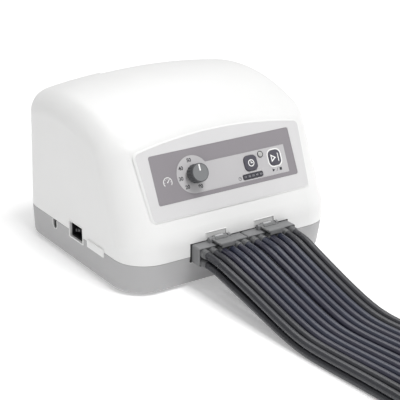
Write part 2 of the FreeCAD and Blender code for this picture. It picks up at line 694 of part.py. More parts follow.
# ---------------------------------------------------------------- cover and base

def outlet_opening(name):
    """The opening of both plugs and their sockets."""
    return block(name, ("outlet_pitch + plug_width + 2 * outlet_gap", "2 * socket_depth",
                        "plug_height + 2 * outlet_gap"), ("outlet_centre", FRONT, OUTLET_Z))


def inlet_window(name):
    """The window of the mains inlet in the left wall."""
    return block(name, ("4 * wall", "inlet_opening_width", "inlet_opening_height"),
                 (LEFT, INLET_Y, INLET_Z))


def cover_fixings():
    """The posts and heat stakes of the board, and the screw lugs with their ribs."""
    posts = []
    for x, s in BOARD_POSTS:
        posts.append(rod("cover_post", "post_radius", "board_depth - wall / 2", (x, s, "-board_depth")))
        posts.append(rod("cover_stake", "stake_radius", "board_depth + board_thickness / 2 + overlap",
                         (x, s, "-board_depth - board_thickness - overlap")))
    fixings = [onto_slope(fuse("cover_posts", *posts))]
    for (sx, _), (x, y) in zip(CORNERS, SCREWS):
        fixings.append(rod("cover_lug", "pillar_radius", "lug_height", (x, y, SEAM)))
        fixings.append(block("cover_rib", ("screw_inset_x - wall / 2", "2 * lug_rib",
                                           "lug_height - lip_height - overlap"),
                             (f"{sx} * (case_width / 2 - wall / 4 - screw_inset_x / 2)", y,
                              f"{SEAM} + (lug_height + lip_height + overlap) / 2")))
    return fixings


def cover_tongue():
    """The tongue on the left side that laps over the seam, and its root in the wall."""
    y = f"{FRONT} + tab_setback"
    return [
        block("cover_tongue", ("tab_thickness", "tab_width", "tab_drop + tab_rise"),
              (f"{LEFT} - tab_thickness / 2", y, f"{SEAM} + (tab_rise - tab_drop) / 2")),
        block("cover_tongue_root", ("tab_thickness + wall", "tab_width", "tab_rise"),
              (f"{LEFT} + (wall - tab_thickness) / 2", y, f"{SEAM} + tab_rise / 2")),
    ]


def cover_openings():
    """Everything cut from the cover: panel, outlets, inlet, latch pockets, threads and vents."""
    panel = panel_holes("cover")
    panel.append(bezel_outline("cover_inlay", INLAY, "(2 * wall)"))
    panel.append(rod("cover_lamp", "lamp_stem_radius + label_gap", "4 * wall",
                     ("lamp_x", "lamp_s", "-2 * wall")))
    panel.append(block("cover_scale",
                       ("display_rib + 2 * label_gap", "lamp_stem_radius + 2 * label_gap", "4 * wall"),
                       ("display_x", "display_s", "0")))
    tools = [onto_slope(fuse("cover_panel_holes", *panel)), outlet_opening("cover_outlets"),
             inlet_window("cover_inlet")]
    for _, sign in SIDES:
        tools.append(block("latch_pocket",
                           ("latch_pocket_width", "2 * latch_pocket_depth", "latch_pocket_height"),
                           (outlet_x(sign), FRONT, f"{PLUG_TOP} + latch_pocket_height / 2")))
    for x, y in SCREWS:
        tools.append(rod("cover_thread", "screw_radius", "lug_height - thread_end", (x, y, SEAM)))
    for i in range(VENTS):
        tools.append(block("cover_vent", ("vent_width", "8 * wall", "vent_height"),
                           (f"{i - (VENTS - 1) / 2} * vent_pitch", BACK, f"{SEAM} + vent_lift")))
    return tools


def make_cover():
    """The white top shell with its openings, posts, lugs, tongue, latch pockets and hand grip."""
    outside = cut("cover_gripped", cover_form("cover_out", "0", SEAM), grip_cutter("grip_out", "0"))
    inside = cut("cover_hollow", cover_form("cover_in", "wall", f"({SEAM} - overlap)"),
                 grip_cutter("grip_in", "wall"))
    blank = fuse("cover_blank", cut("cover_shell", outside, inside), *cover_fixings(), *cover_tongue())
    label("top_cover", cut("cover", blank, *cover_openings()))


def base_seats():
    """The screw pillars, the ribs under the sockets and the ribs under the distributor."""
    seats = [rod("base_pillar", "pillar_radius", f"{SEAM} - {FLOOR} + overlap", (x, y, f"{FLOOR} - overlap"))
             for x, y in SCREWS]
    valve_foot = f"({VALVE_TOP} - valve_height)"
    for _, sign in SIDES:
        for part in (-1, 0, 1):
            seats.append(box("base_socket_rib",
                             ("wall", "socket_depth / 2", f"{PLUG_FOOT} - {FLOOR} + overlap"),
                             (f"{outlet_x(sign)} + {part} * plug_width / 3 - wall / 2",
                              f"{FRONT} + socket_depth / 2", f"{FLOOR} - overlap")))
        for eighth in (1, 7):
            seats.append(block("base_valve_rib",
                               ("2 * wall", "valve_depth / 4", f"{valve_foot} - {FLOOR} + overlap"),
                               (f"outlet_centre + {sign} * (valve_length / 2 - 2 * wall)",
                                f"{VALVE_FRONT} + {eighth} * valve_depth / 8",
                                f"({FLOOR} - overlap + {valve_foot}) / 2")))
    return seats


def base_openings():
    """Everything cut from the base: outlets, inlet and its flange, groove, notch and screw wells."""
    notch_y = f"{FRONT} + notch_setback"
    tools = [
        outlet_opening("base_outlets"),
        inlet_window("base_inlet"),
        block("base_inlet_room",
              ("inlet_flange + 2 * wall", "inlet_opening_width + 2 * inlet_flange_border + 2 * fit_gap",
               "inlet_opening_height + 2 * inlet_flange_border + 2 * fit_gap"),
              (f"{LEFT} + 2 * wall + inlet_flange / 2", INLET_Y, INLET_Z)),
        rim_ring("base_groove", f"({SEAM} - seam_gap)", "(2 * seam_gap)", "(-wall)", "seam_depth"),
        block("base_notch", ("4 * wall", "notch_width", "notch_depth"),
              (LEFT, notch_y, f"{SEAM} - notch_depth / 2 + notch_width / 2")),
        rod("base_notch_end", "notch_width / 2", "4 * wall",
            (f"{LEFT} - 2 * wall", notch_y, f"{SEAM} - notch_depth + notch_width / 2"), "x"),
    ]
    for x, y in SCREWS:
        tools.append(rod("base_screw_well", "screw_head_radius + fit_gap", "screw_sink + overlap",
                         (x, y, "foot_rise - overlap")))
        tools.append(rod("base_screw_hole", "screw_radius + fit_gap", f"{SEAM} + lip_height",
                         (x, y, "foot_rise")))
    return tools


def make_base():
    """The grey tray: walls, lip, screw pillars, and the seats of the sockets and the distributor."""
    shell = cut("base_shell", base_form("base_out", "0", "foot_rise", SEAM),
                base_form("base_in", "wall", FLOOR, f"({SEAM} + overlap)"))
    inner = "(wall + fit_gap + lip_thickness)"
    shelf = rim_ring("base_shelf", f"({SEAM} - lip_height - wall)", "(lip_height + wall)",
                     "(wall / 2)", inner)
    lip = rim_ring("base_lip", f"({SEAM} - overlap)", "(lip_height + overlap)", "(wall + fit_gap)", inner)
    blank = fuse("base_blank", shell, shelf, lip, *base_seats())
    label("base_tray", cut("base", blank, *base_openings()))


def make_feet_and_screws():
    """Four rubber feet and the four screws that hold the cover down."""
    feet = [rod("foot", "foot_radius", "foot_rise",
                (f"{sx} * (case_width / 2 - foot_inset_x)", f"{sy} * (case_depth / 2 - foot_inset_y)", "0"))
            for sx, sy in CORNERS]
    screws = []
    for x, y in SCREWS:
        head = rod("screw_head", "screw_head_radius", "screw_head",
                   (x, y, "foot_rise + screw_sink - screw_head"))
        shank = rod("screw_shank", "screw_radius",
                    f"{SEAM} + lug_height - thread_end - overlap - foot_rise - screw_sink",
                    (x, y, "foot_rise + screw_sink"))
        screws.append(fuse("screw", head, shank))
    label("rubber_feet", group("feet", *feet))
    label("case_screws", group("screws", *screws))


# ---------------------------------------------------------------- inside

def make_inlet():
    """The three-pole mains inlet behind the window in the left wall."""
    wall_face = f"({LEFT} + wall)"
    flange = block("inlet_flange_plate", ("inlet_flange", "inlet_opening_width + 2 * inlet_flange_border",
                                          "inlet_opening_height + 2 * inlet_flange_border"),
                   (f"{wall_face} + inlet_flange / 2", INLET_Y, INLET_Z))
    body = block("inlet_body", ("inlet_body_depth", "inlet_opening_width - 2 * fit_gap",
                                "inlet_opening_height - 2 * fit_gap"),
                 (f"{wall_face} + inlet_body_depth / 2", INLET_Y, INLET_Z))
    rim = "2 * (inlet_rim + fit_gap)"
    cavity = block("inlet_cavity_box",
                   ("2 * inlet_cavity", f"inlet_opening_width - {rim}", f"inlet_opening_height - {rim}"),
                   (wall_face, INLET_Y, INLET_Z))
    parts = [cut("inlet_hollow", fuse("inlet_blank", flange, body), cavity)]
    for across, up in ((-1, -1), (1, -1), (0, 1)):
        parts.append(block("inlet_blade", ("inlet_cavity", "blade_thickness", "blade_width"),
                           (f"{wall_face} + overlap + inlet_cavity / 2",
                            f"{INLET_Y} + {across} * blade_pitch",
                            f"{INLET_Z} + {up} * blade_width / 4")))
    label("mains_inlet", fuse("inlet", *parts))


def outlet_x(sign):
    """The middle of the left or right outlet."""
    return f"(outlet_centre + {sign} * outlet_pitch / 2)"


def hose_x(sign, column):
    """The middle of a hose, from the left of its plug."""
    return f"({outlet_x(sign)} + {column - (HOSES_PER_ROW - 1) / 2} * hose_pitch)"


def row_z(row):
    """The height of the lower (-1) or upper (1) row of hoses at the plug."""
    return f"({OUTLET_Z} - row_drop + {row} * row_pitch / 2)"


def air_ports(name, sign, at, length):
    """A bore behind each hose of an outlet."""
    return [rod(f"{name}_port", "port_radius", length, (hose_x(sign, column), at, row_z(row)), "y")
            for column in range(HOSES_PER_ROW) for _, row in ROWS]


def make_outlets():
    """Socket, hose plug and latch of each outlet."""
    for side, sign in SIDES:
        x = outlet_x(sign)
        socket = block(f"socket_{side}", ("plug_width", "socket_depth - fit_gap", "plug_height"),
                       (x, f"{FRONT} + (socket_depth + fit_gap) / 2", OUTLET_Z))
        recess = block(f"socket_recess_{side}",
                       ("plug_width - 2 * plug_rim + 2 * fit_gap", "2 * (plug_nose + fit_gap)",
                        "plug_height - 2 * plug_rim + 2 * fit_gap"), (x, FRONT, OUTLET_Z))
        label(f"outlet_socket_{side}", cut(f"outlet_socket_{side}_solid", socket, recess,
                                           *air_ports("socket", sign, FRONT, "2 * socket_depth")))
        make_plug(side, sign, x)
        make_latch(side, x)


def latch_bearing(x):
    """The two ears that carry a latch, and its pin."""
    ears = []
    for _, ear in SIDES:
        middle = f"({x} + {ear} * (latch_width / 2 + label_gap + latch_ear / 2))"
        ears.append(block("latch_ear_block",
                          ("latch_ear", "2 * latch_barrel_radius", "latch_axis_rise + overlap"),
                          (middle, LATCH_Y, f"{PLUG_TOP} + (latch_axis_rise - overlap) / 2")))
        ears.append(rod("latch_ear_top", "latch_barrel_radius", "latch_ear",
                        (f"{middle} - latch_ear / 2", LATCH_Y, LATCH_Z), "x"))
    pin = rod("latch_pin", "latch_pin_radius", "latch_width + 2 * latch_ear",
              (f"{x} - latch_width / 2 - latch_ear", LATCH_Y, LATCH_Z), "x")
    return [*ears, pin]


def make_plug(side, sign, x):
    """A hose plug: body, nose in the socket, twelve collars and the ears of its latch."""
    front_y = -size("case_depth") / 2 - size("plug_depth")
    body = rounded(f"plug_body_{side}",
                   block(f"plug_block_{side}", ("plug_width", "plug_depth", "plug_height"),
                         (x, f"{FRONT} - plug_depth / 2", OUTLET_Z)), size("plug_edge"),
                   lambda e: near(e.BoundBox.YMax, front_y) or runs_along(e, V(0, 1, 0)))
    nose = block(f"plug_nose_{side}",
                 ("plug_width - 2 * plug_rim", "2 * plug_nose", "plug_height - 2 * plug_rim"),
                 (x, FRONT, OUTLET_Z))
    collars = [rod("plug_collar", "barb_radius", "barb_length + overlap",
                   (hose_x(sign, column), BARB_TIP, row_z(row)), "y")
               for column in range(HOSES_PER_ROW) for _, row in ROWS]
    blank = fuse(f"plug_{side}", body, nose, *collars, *latch_bearing(x))
    ports = air_ports("plug", sign, f"{BARB_TIP} + collar_wall", "2 * socket_depth")
    label(f"hose_plug_{side}", cut(f"hose_plug_{side}_solid", blank, *ports))


def make_latch(side, x):
    """A latch lever: barrel on its pin, plate over the hose collars, lip at its front."""
    reach = "(latch_reach - latch_tail)"
    left = f"({x} - latch_width / 2)"
    plate = rounded(f"latch_plate_{side}",
                    block(f"latch_block_{side}", ("latch_width", reach, "latch_thickness"),
                          (x, f"{FRONT} - latch_tail - {reach} / 2", LATCH_Z)), size("latch_edge"),
                    lambda e: runs_along(e, V(0, 0, 1)))
    barrel = rod(f"latch_barrel_{side}", "latch_barrel_radius", "latch_width", (left, LATCH_Y, LATCH_Z),
                 "x")
    lip = box(f"latch_lip_{side}", ("latch_width - 2 * latch_edge", "latch_lip", "latch_lip_drop"),
              (f"{left} + latch_edge", f"{FRONT} - latch_reach", f"{LATCH_Z} - latch_lip_drop"))
    bore = rod(f"latch_bore_{side}", "latch_pin_radius + bearing_gap", "latch_width + 2 * overlap",
               (f"{left} - overlap", LATCH_Y, LATCH_Z), "x")
    blank = fuse(f"latch_{side}_blank", plate, barrel, lip)
    label(f"latch_{side}", cut(f"latch_{side}_solid", blank, bore))


def rotor_ports(middle):
    """The cross bores of the rotor, each turned on from the one before."""
    ports = []
    for bank, (_, sign) in enumerate(SIDES):
        for column in range(HOSES_PER_ROW):
            angle = 180 / (2 * HOSES_PER_ROW) * (bank * HOSES_PER_ROW + column)
            turn = FreeCAD.Rotation(V(1, 0, 0), angle)
            port = rod("rotor_port", "port_radius", "4 * rotor_radius", ("0", "0", "0"))
            ports.append(place(port, (hose_x(sign, column),
                                      f"{middle} + 2 * rotor_radius * sin({angle} deg)",
                                      f"{OUTLET_Z} - 2 * rotor_radius * cos({angle} deg)"), turn))
    return ports


def make_distributor():
    """The rotary distributor: block, ported rotor with its shaft, and the gearmotor on its end."""
    left = "(outlet_centre - valve_length / 2)"
    right = "(outlet_centre + valve_length / 2)"
    axis = (VALVE_Y, OUTLET_Z)
    blank = block("valve_blank", ("valve_length", "valve_depth", "valve_height"), ("outlet_centre", *axis))
    tools = [rod("valve_bore", "rotor_radius + bearing_gap", "valve_length", (f"{left} + wall", *axis), "x")]
    for _, sign in SIDES:
        tools += air_ports("valve", sign, f"{VALVE_FRONT} - overlap", "valve_depth / 2")
    tools.append(rod("valve_inlet", "port_radius", "valve_depth / 2",
                     ("air_line_x", VALVE_Y, COMPRESSOR_Z), "y"))
    tools.append(rod("valve_sense", "port_radius", "valve_height", ("knob_x", REGULATOR_Y, OUTLET_Z)))
    label("valve_block", cut("valve", blank, *tools))

    drum = rod("rotor_drum", "rotor_radius", "valve_length - wall - 2 * fit_gap",
               (f"{left} + wall + fit_gap", *axis), "x")
    shaft = rod("rotor_shaft", "motor_shaft_radius", "motor_length / 2",
                (f"{right} - 2 * fit_gap", *axis), "x")
    label("valve_rotor", cut("rotor", fuse("rotor_blank", drum, shaft), *rotor_ports(VALVE_Y)))

    can = rod("motor_can", "motor_radius", "motor_length", (right, *axis), "x")
    bore = rod("motor_bore", "motor_shaft_radius + bearing_gap", "motor_length / 2 + overlap",
               (right, *axis), "x")
    label("valve_motor", cut("motor", can, bore))


def make_compressor():
    """The linear compressor: barrel on a foot plate, piston inside, four rubber mounts."""
    plate_foot = f"({FLOOR} + mount_height)"
    plate_face = f"({plate_foot} + foot_plate)"
    plate = block("compressor_plate", ("plate_width", "plate_depth", "foot_plate"),
                  (COMPRESSOR_X, COMPRESSOR_Y, f"{plate_foot} + foot_plate / 2"))
    saddle = block("compressor_saddle", ("compressor_length", "compressor_radius", "compressor_radius"),
                   (COMPRESSOR_X, COMPRESSOR_Y, f"{plate_face} + compressor_radius / 2"))
    barrel = rod("compressor_barrel", "compressor_radius", "compressor_length",
                 (f"{COMPRESSOR_X} - compressor_length / 2", COMPRESSOR_Y, COMPRESSOR_Z), "x")
    outlet = rod("compressor_outlet", "port_radius", "compressor_radius + barb_length",
                 ("air_line_x", f"{COMPRESSOR_Y} - compressor_radius - barb_length", COMPRESSOR_Z), "y")
    room = "(piston_length + 2 * piston_stroke + 2 * wall)"
    bore = rod("compressor_bore_hole", "compressor_bore", room,
               (f"{COMPRESSOR_X} - {room} / 2", COMPRESSOR_Y, COMPRESSOR_Z), "x")
    blank = fuse("compressor_blank", plate, saddle, barrel, outlet)
    label("compressor_body", cut("compressor", blank, bore))
    label("compressor_piston", rod("piston", "compressor_bore - bearing_gap", "piston_length",
                                   (f"{COMPRESSOR_X} - piston_length / 2", COMPRESSOR_Y, COMPRESSOR_Z), "x"))
    mounts = [rod("mount", "mount_radius", "mount_height",
                  (f"{COMPRESSOR_X} + {sx} * (plate_width / 2 - mount_radius)",
                   f"{COMPRESSOR_Y} + {sy} * (plate_depth / 2 - mount_radius)", FLOOR)) for sx, sy in CORNERS]
    label("compressor_mounts", group("mounts", *mounts))


def make_transformer():
    """The mains transformer: laminated core and the winding through it."""
    at = (f"{LEFT} + transformer_inset_x", f"{BACK} - transformer_inset_y", f"{FLOOR} + core_height / 2")
    core = block("core", ("core_width", "core_depth", "core_height"), at)
    coil = rounded_block("winding", ("coil_width", "core_depth + 2 * coil_overhang", "coil_height"),
                         at, size("coil_corner"))
    label("power_transformer", fuse("transformer", core, coil))


def make_inner_tubes():
    """Air tubes: sockets to distributor, compressor to distributor, distributor to regulator."""
    tubes = [rod("air_tube", "tube_radius", "valve_setback - socket_depth",
                 (hose_x(sign, column), f"{FRONT} + socket_depth", row_z(row)), "y")
             for _, sign in SIDES for column in range(HOSES_PER_ROW) for _, row in ROWS]
    valve_back = f"({VALVE_FRONT} + valve_depth)"
    tubes.append(rod("air_supply", "tube_radius",
                     f"{COMPRESSOR_Y} - compressor_radius - barb_length - {valve_back}",
                     ("air_line_x", valve_back, COMPRESSOR_Z), "y"))
    tubes.append(rod("air_sense", "tube_radius", f"{REGULATOR_LOW} - {VALVE_TOP}",
                     ("knob_x", REGULATOR_Y, VALVE_TOP)))
    label("inner_tubes", group("tubes", *tubes))


# ---------------------------------------------------------------- hoses

# Where a hose turns, from its plug to the roll: reach before the front of the case, height above the table
# for the lower and the upper row, and drift to the right. The first and last points follow the sheet.
ROUTE = (
    (40.5, 36.0, 46.5, 0.0),
    (65.5, 32.0, 42.9, 0.2),
    (95.5, 26.5, 37.2, 0.7),
    (125.5, 19.5, 29.8, 1.5),
    (155.5, 11.5, 21.4, 2.6),
    (180.5, 5.9, 15.3, 3.8),
    (205.5, 4.25, 13.05, 5.0),
    (247.5, 4.25, 13.05, 7.9),
    (289.5, 4.25, 13.05, 10.4),
    (329.5, 4.25, 13.05, 12.0),
)
# How far each hose of a row strays sideways, and up, where it hangs between its plug and the table.
STRAY_ASIDE = (0.3, -0.4, 0.5, -0.2, 0.4, -0.5)
STRAY_UP = (0.2, 0.6, 0.0, 0.5, 0.1, 0.4)
HANGS_FROM, HANGS_TO = 40.5, 205.5
# An arc of a hose takes up this much of the shorter of its two runs.
ARC_SHARE = 0.45


def hose_points(sign, column, row):
    """The corners of one hose's route."""
    x = number(hose_x(sign, column))
    front = -size("case_depth") / 2
    floor_z = size("hose_diameter") / 2 + (size("layer_pitch") if row > 0 else 0)
    points = [V(x, number(BARB_TIP), number(row_z(row)))]
    for reach, low, high, drift in ROUTE:
        hanging = min((reach - HANGS_FROM) / (HANGS_TO - HANGS_FROM), 1)
        share = math.sin(math.pi * hanging)
        height = high + STRAY_UP[column] * share if row > 0 else low
        points.append(V(x + drift + STRAY_ASIDE[column] * share, front - reach, height))
    points.append(V(x + size("roll_drift"), front - size("roll_reach") + size("roll_entry"), floor_z))
    return points


def smooth_path(points):
    """Straight runs joined by tangent arcs, each as large as its two runs allow, and the smallest radius."""
    edges = []
    radii = []
    at = points[0]
    for before, corner, after in zip(points, points[1:], points[2:]):
        inward = (corner - before).normalize()
        onward = (after - corner).normalize()
        half_turn = inward.getAngle(onward) / 2
        reach = ARC_SHARE * min((corner - before).Length, (after - corner).Length)
        radius = reach / math.tan(half_turn)
        towards_centre = (onward - inward).normalize()
        middle = corner + towards_centre * (radius / math.cos(half_turn) - radius)
        edges.append(Part.LineSegment(at, corner - inward * reach).toShape())
        edges.append(Part.Arc(corner - inward * reach, middle, corner + onward * reach).toShape())
        at = corner + onward * reach
        radii.append(radius)
    edges.append(Part.LineSegment(at, points[-1]).toShape())
    return Part.Wire(edges), min(radii)


def make_hose(node, sign, row, column):
    """One hose from its collar to the roll, swept along its path."""
    points = hose_points(sign, column, row)
    path, smallest = smooth_path(points)
    radius = size("hose_diameter") / 2
    ring = Part.Wire(Part.Circle(points[0], points[1] - points[0], radius).toShape())
    hose = doc.addObject("Part::Feature", node)
    hose.Shape = path.makePipeShell([ring], True, False)
    hose.Placement = FreeCAD.Placement()
    expected = math.pi * radius ** 2 * path.Length
    print(f"{node}: length {path.Length:.1f}, smallest radius {smallest:.0f}, "
          f"volume {hose.Shape.Volume / expected:.4f} of section times length")
    label(node, hose)


def make_roll(side, sign):
    """The rolled-up rest of one plug's hoses: the winding, its flat entry and the last bend inside it."""
    middle_x = f"({outlet_x(sign)} + roll_drift)"
    left = f"({middle_x} - {ROLL_WIDTH} / 2)"
    winding = rod(f"roll_winding_{side}", "roll_radius", ROLL_WIDTH, (left, ROLL_Y, "roll_radius"), "x")
    entry = box(f"roll_entry_{side}", (ROLL_WIDTH, "roll_entry", ROLL_LAYERS), (left, ROLL_Y, "0"))
    hole = rod(f"roll_hole_{side}", "roll_core", ROLL_WIDTH, (left, ROLL_Y, "roll_radius"), "x")
    ring = cut(f"roll_ring_{side}", fuse(f"roll_blank_{side}", winding, entry), hole)
    bend_axis = (left, f"{ROLL_Y} + tail_shift", "roll_radius - tail_drop")
    bend = rod(f"roll_bend_{side}", "tail_radius", ROLL_WIDTH, bend_axis, "x")
    bind(bend, Angle="tail_angle")
    bend_core = rod(f"roll_bend_core_{side}", f"tail_radius - {ROLL_LAYERS}", ROLL_WIDTH, bend_axis, "x")
    tail = cut(f"roll_tail_{side}", bend, bend_core)
    label(f"hose_roll_{side}", fuse(f"hose_roll_{side}_solid", ring, tail))
    connector = block(f"connector_{side}", ("plug_width", "connector_depth", "connector_height"),
                      (middle_x, f"{ROLL_Y} + tail_shift - connector_depth / 2",
                       f"roll_radius - tail_drop - tail_radius + {ROLL_LAYERS} / 2"))
    label(f"garment_connector_{side}", connector)


def make_ties():
    """A strap round the winding of each roll, at its top."""
    ties = []
    height = "(roll_radius - roll_core)"
    for _, sign in SIDES:
        centre = (f"{outlet_x(sign)} + roll_drift", ROLL_Y, "(3 * roll_radius + roll_core) / 2")
        outer = block("tie_outer", (f"{ROLL_WIDTH} + 2 * tie_thickness", "tie_width",
                                    f"{height} + 4 * tie_thickness"), centre)
        inner = block("tie_inner", (ROLL_WIDTH, "2 * tie_width", f"{height} + 2 * tie_thickness"), centre)
        ties.append(cut("tie", outer, inner))
    label("hose_ties", group("ties", *ties))


def failed_objects():
    """Objects that did not compute, and sub-parts whose shape is empty or not valid."""
    failed = [o.Label for o in doc.Objects if {"Invalid", "Error"} & set(o.State)]
    for node, obj in NODES.items():
        if obj.Shape.isNull() or not obj.Shape.isValid() or obj.Shape.Volume <= 0:
            failed.append(node)
    return failed


def main():
    """Build every sub-part, check them and write one STEP file each."""
    make_cover()
    make_base()
    make_labels()
    make_keys()
    make_lamp_and_scale()
    make_knob()
    make_regulator()
    make_board()
    make_feet_and_screws()
    make_inlet()
    make_outlets()
    make_distributor()
    make_compressor()
    make_transformer()
    make_inner_tubes()
    for side, sign in SIDES:
        for row_name, row in ROWS:
            for column in range(HOSES_PER_ROW):
                make_hose(f"hose_{side}_{row_name}_{column + 1}", sign, row, column)
        make_roll(side, sign)
    make_ties()
    doc.recompute()
    failed = failed_objects()
    if failed:
        raise RuntimeError("not built: " + ", ".join(failed))
    os.makedirs("parts", exist_ok=True)
    for node, obj in NODES.items():
        obj.Shape.exportStep(os.path.join("parts", node + ".step"))
    print(f"{len(NODES)} sub-parts written")


main()
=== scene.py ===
"""A table-top compression pump with its two bundles of air hoses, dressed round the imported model."""
import json
import logging
import math
from abc import ABC, abstractmethod
from collections.abc import Iterable, Sequence
from dataclasses import dataclass
from enum import Enum

import bmesh
import bpy
from mathutils import Matrix, Vector


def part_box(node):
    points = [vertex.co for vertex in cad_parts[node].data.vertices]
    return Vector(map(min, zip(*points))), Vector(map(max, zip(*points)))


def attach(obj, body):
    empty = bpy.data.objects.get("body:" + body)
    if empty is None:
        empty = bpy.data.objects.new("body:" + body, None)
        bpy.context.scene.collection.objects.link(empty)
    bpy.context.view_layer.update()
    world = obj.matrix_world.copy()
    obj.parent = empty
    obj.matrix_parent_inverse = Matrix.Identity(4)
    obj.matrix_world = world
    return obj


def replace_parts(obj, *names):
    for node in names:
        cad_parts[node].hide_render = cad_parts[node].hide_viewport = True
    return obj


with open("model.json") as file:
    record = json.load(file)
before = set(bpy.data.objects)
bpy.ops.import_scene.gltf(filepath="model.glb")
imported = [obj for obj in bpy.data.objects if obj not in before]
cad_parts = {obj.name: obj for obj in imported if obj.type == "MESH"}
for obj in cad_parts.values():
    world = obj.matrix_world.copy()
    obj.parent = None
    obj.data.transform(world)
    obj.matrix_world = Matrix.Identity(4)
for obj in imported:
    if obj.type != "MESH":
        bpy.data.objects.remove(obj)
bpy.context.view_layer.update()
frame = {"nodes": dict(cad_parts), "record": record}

LOG = logging.getLogger("pump")

Point = tuple[float, float, float]
Point2 = tuple[float, float]
Mesh = bpy.types.Mesh
Piece = bpy.types.Object
Socket = bpy.types.NodeSocket

# The shared frame is in metres: X to the right, Y to the back, Z up from the floor. The front of the case
# lies a clearance before its sockets, and the panel leans back from the band above them.
SHARED_FRAME = Matrix.Identity(4)
FIT_GAP = 0.0003
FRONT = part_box("outlet_socket_left")[0].y - FIT_GAP
SEAM = 0.0385
HALF_WIDTH = 0.134
PANEL_FOOT = 0.0617
PANEL_ANGLE = math.radians(65.0)

# Frames to draw in, each with its Z out of the surface: the panel, the plane of the front and the left side.
PANEL = Matrix.Translation((0.0, FRONT, PANEL_FOOT)) @ Matrix.Rotation(PANEL_ANGLE, 4, "X")
FACE = Matrix.Translation((0.0, FRONT, 0.0)) @ Matrix.Rotation(math.pi / 2, 4, "X")
LEFT_SIDE = Matrix(((0, 0, -1, -HALF_WIDTH), (-1, 0, 0, 0), (0, 1, 0, 0), (0, 0, 0, 1)))

# Levels of the printed films above the panel, thicknesses of print, and radii of moulded edges.
FIELD_TOP = 0.0009
PLATE_TOP = 0.0010
PRINT = 0.00005
FIGURE_RELIEF = 0.00004
FINE_EDGE = 0.0002
SOFT_EDGE = 0.0003
FULL_EDGE = 0.0004

SMOOTH_ANGLE = 32.0
BEVEL_ANGLE = 30.0
ON_AXIS = 1e-7


class Side(Enum):
    """The two outlets and what hangs on them. The value is the side's sign along X."""

    LEFT = -1
    RIGHT = 1

    @property
    def label(self) -> str:
        """The side's word in names."""
        return self.name.lower()


class Row(Enum):
    """The two rows of hoses in a plug. The value is the row's sign along Z."""

    LOWER = -1
    UPPER = 1

    @property
    def label(self) -> str:
        """The row's word in names."""
        return self.name.lower()


@dataclass(frozen=True)
class Outlets:
    """Where the two outlets and their ways lie, for all that lines up with them."""

    centre: float = 0.0022
    pitch: float = 0.0636
    ways: int = 6
    way_pitch: float = 0.0103
    row_pitch: float = 0.0105
    row_middle: float = 0.04125

    def middle(self, side: Side) -> float:
        """The middle of one outlet along X."""
        return self.centre + side.value * self.pitch / 2

    def way(self, column: int) -> float:
        """How far a way lies to the right of its outlet's middle."""
        return (column - (self.ways - 1) / 2) * self.way_pitch

    def level(self, row: Row) -> float:
        """The height of a row above the floor."""
        return self.row_middle + row.value * self.row_pitch / 2


OUTLETS = Outlets()


# ---------------------------------------------------------------------------- finishes

def wired(tree: bpy.types.NodeTree, kind: str, values: dict[str | int, object] | None = None,
          links: dict[str | int, Socket] | None = None, **options: str) -> bpy.types.Node:
    """Add a shader node, set its sockets and link its inputs.

    Args:
        tree: the node tree that it is added to.
        kind: the node's type.
        values: what each socket is set to, by the socket's name or number.
        links: what each socket is fed from, by the socket's name or number.
        **options: the node's own settings, made before its sockets are set.

    Returns:
        The new node.
    """
    node = tree.nodes.new(kind)
    for option, setting in options.items():
        setattr(node, option, setting)
    for socket, value in (values or {}).items():
        node.inputs[socket].default_value = value
    for socket, source in (links or {}).items():
        tree.links.new(source, node.inputs[socket])
    return node


class Grain(Enum):
    """The relief of a surface."""

    MOULDED = "fine sparks of a moulding tool"
    SATIN = "faint waves of a printed film"
    RUBBER = "soft matt skin"
    METAL = "drawn along one way"
    WOVEN = "crossed threads"


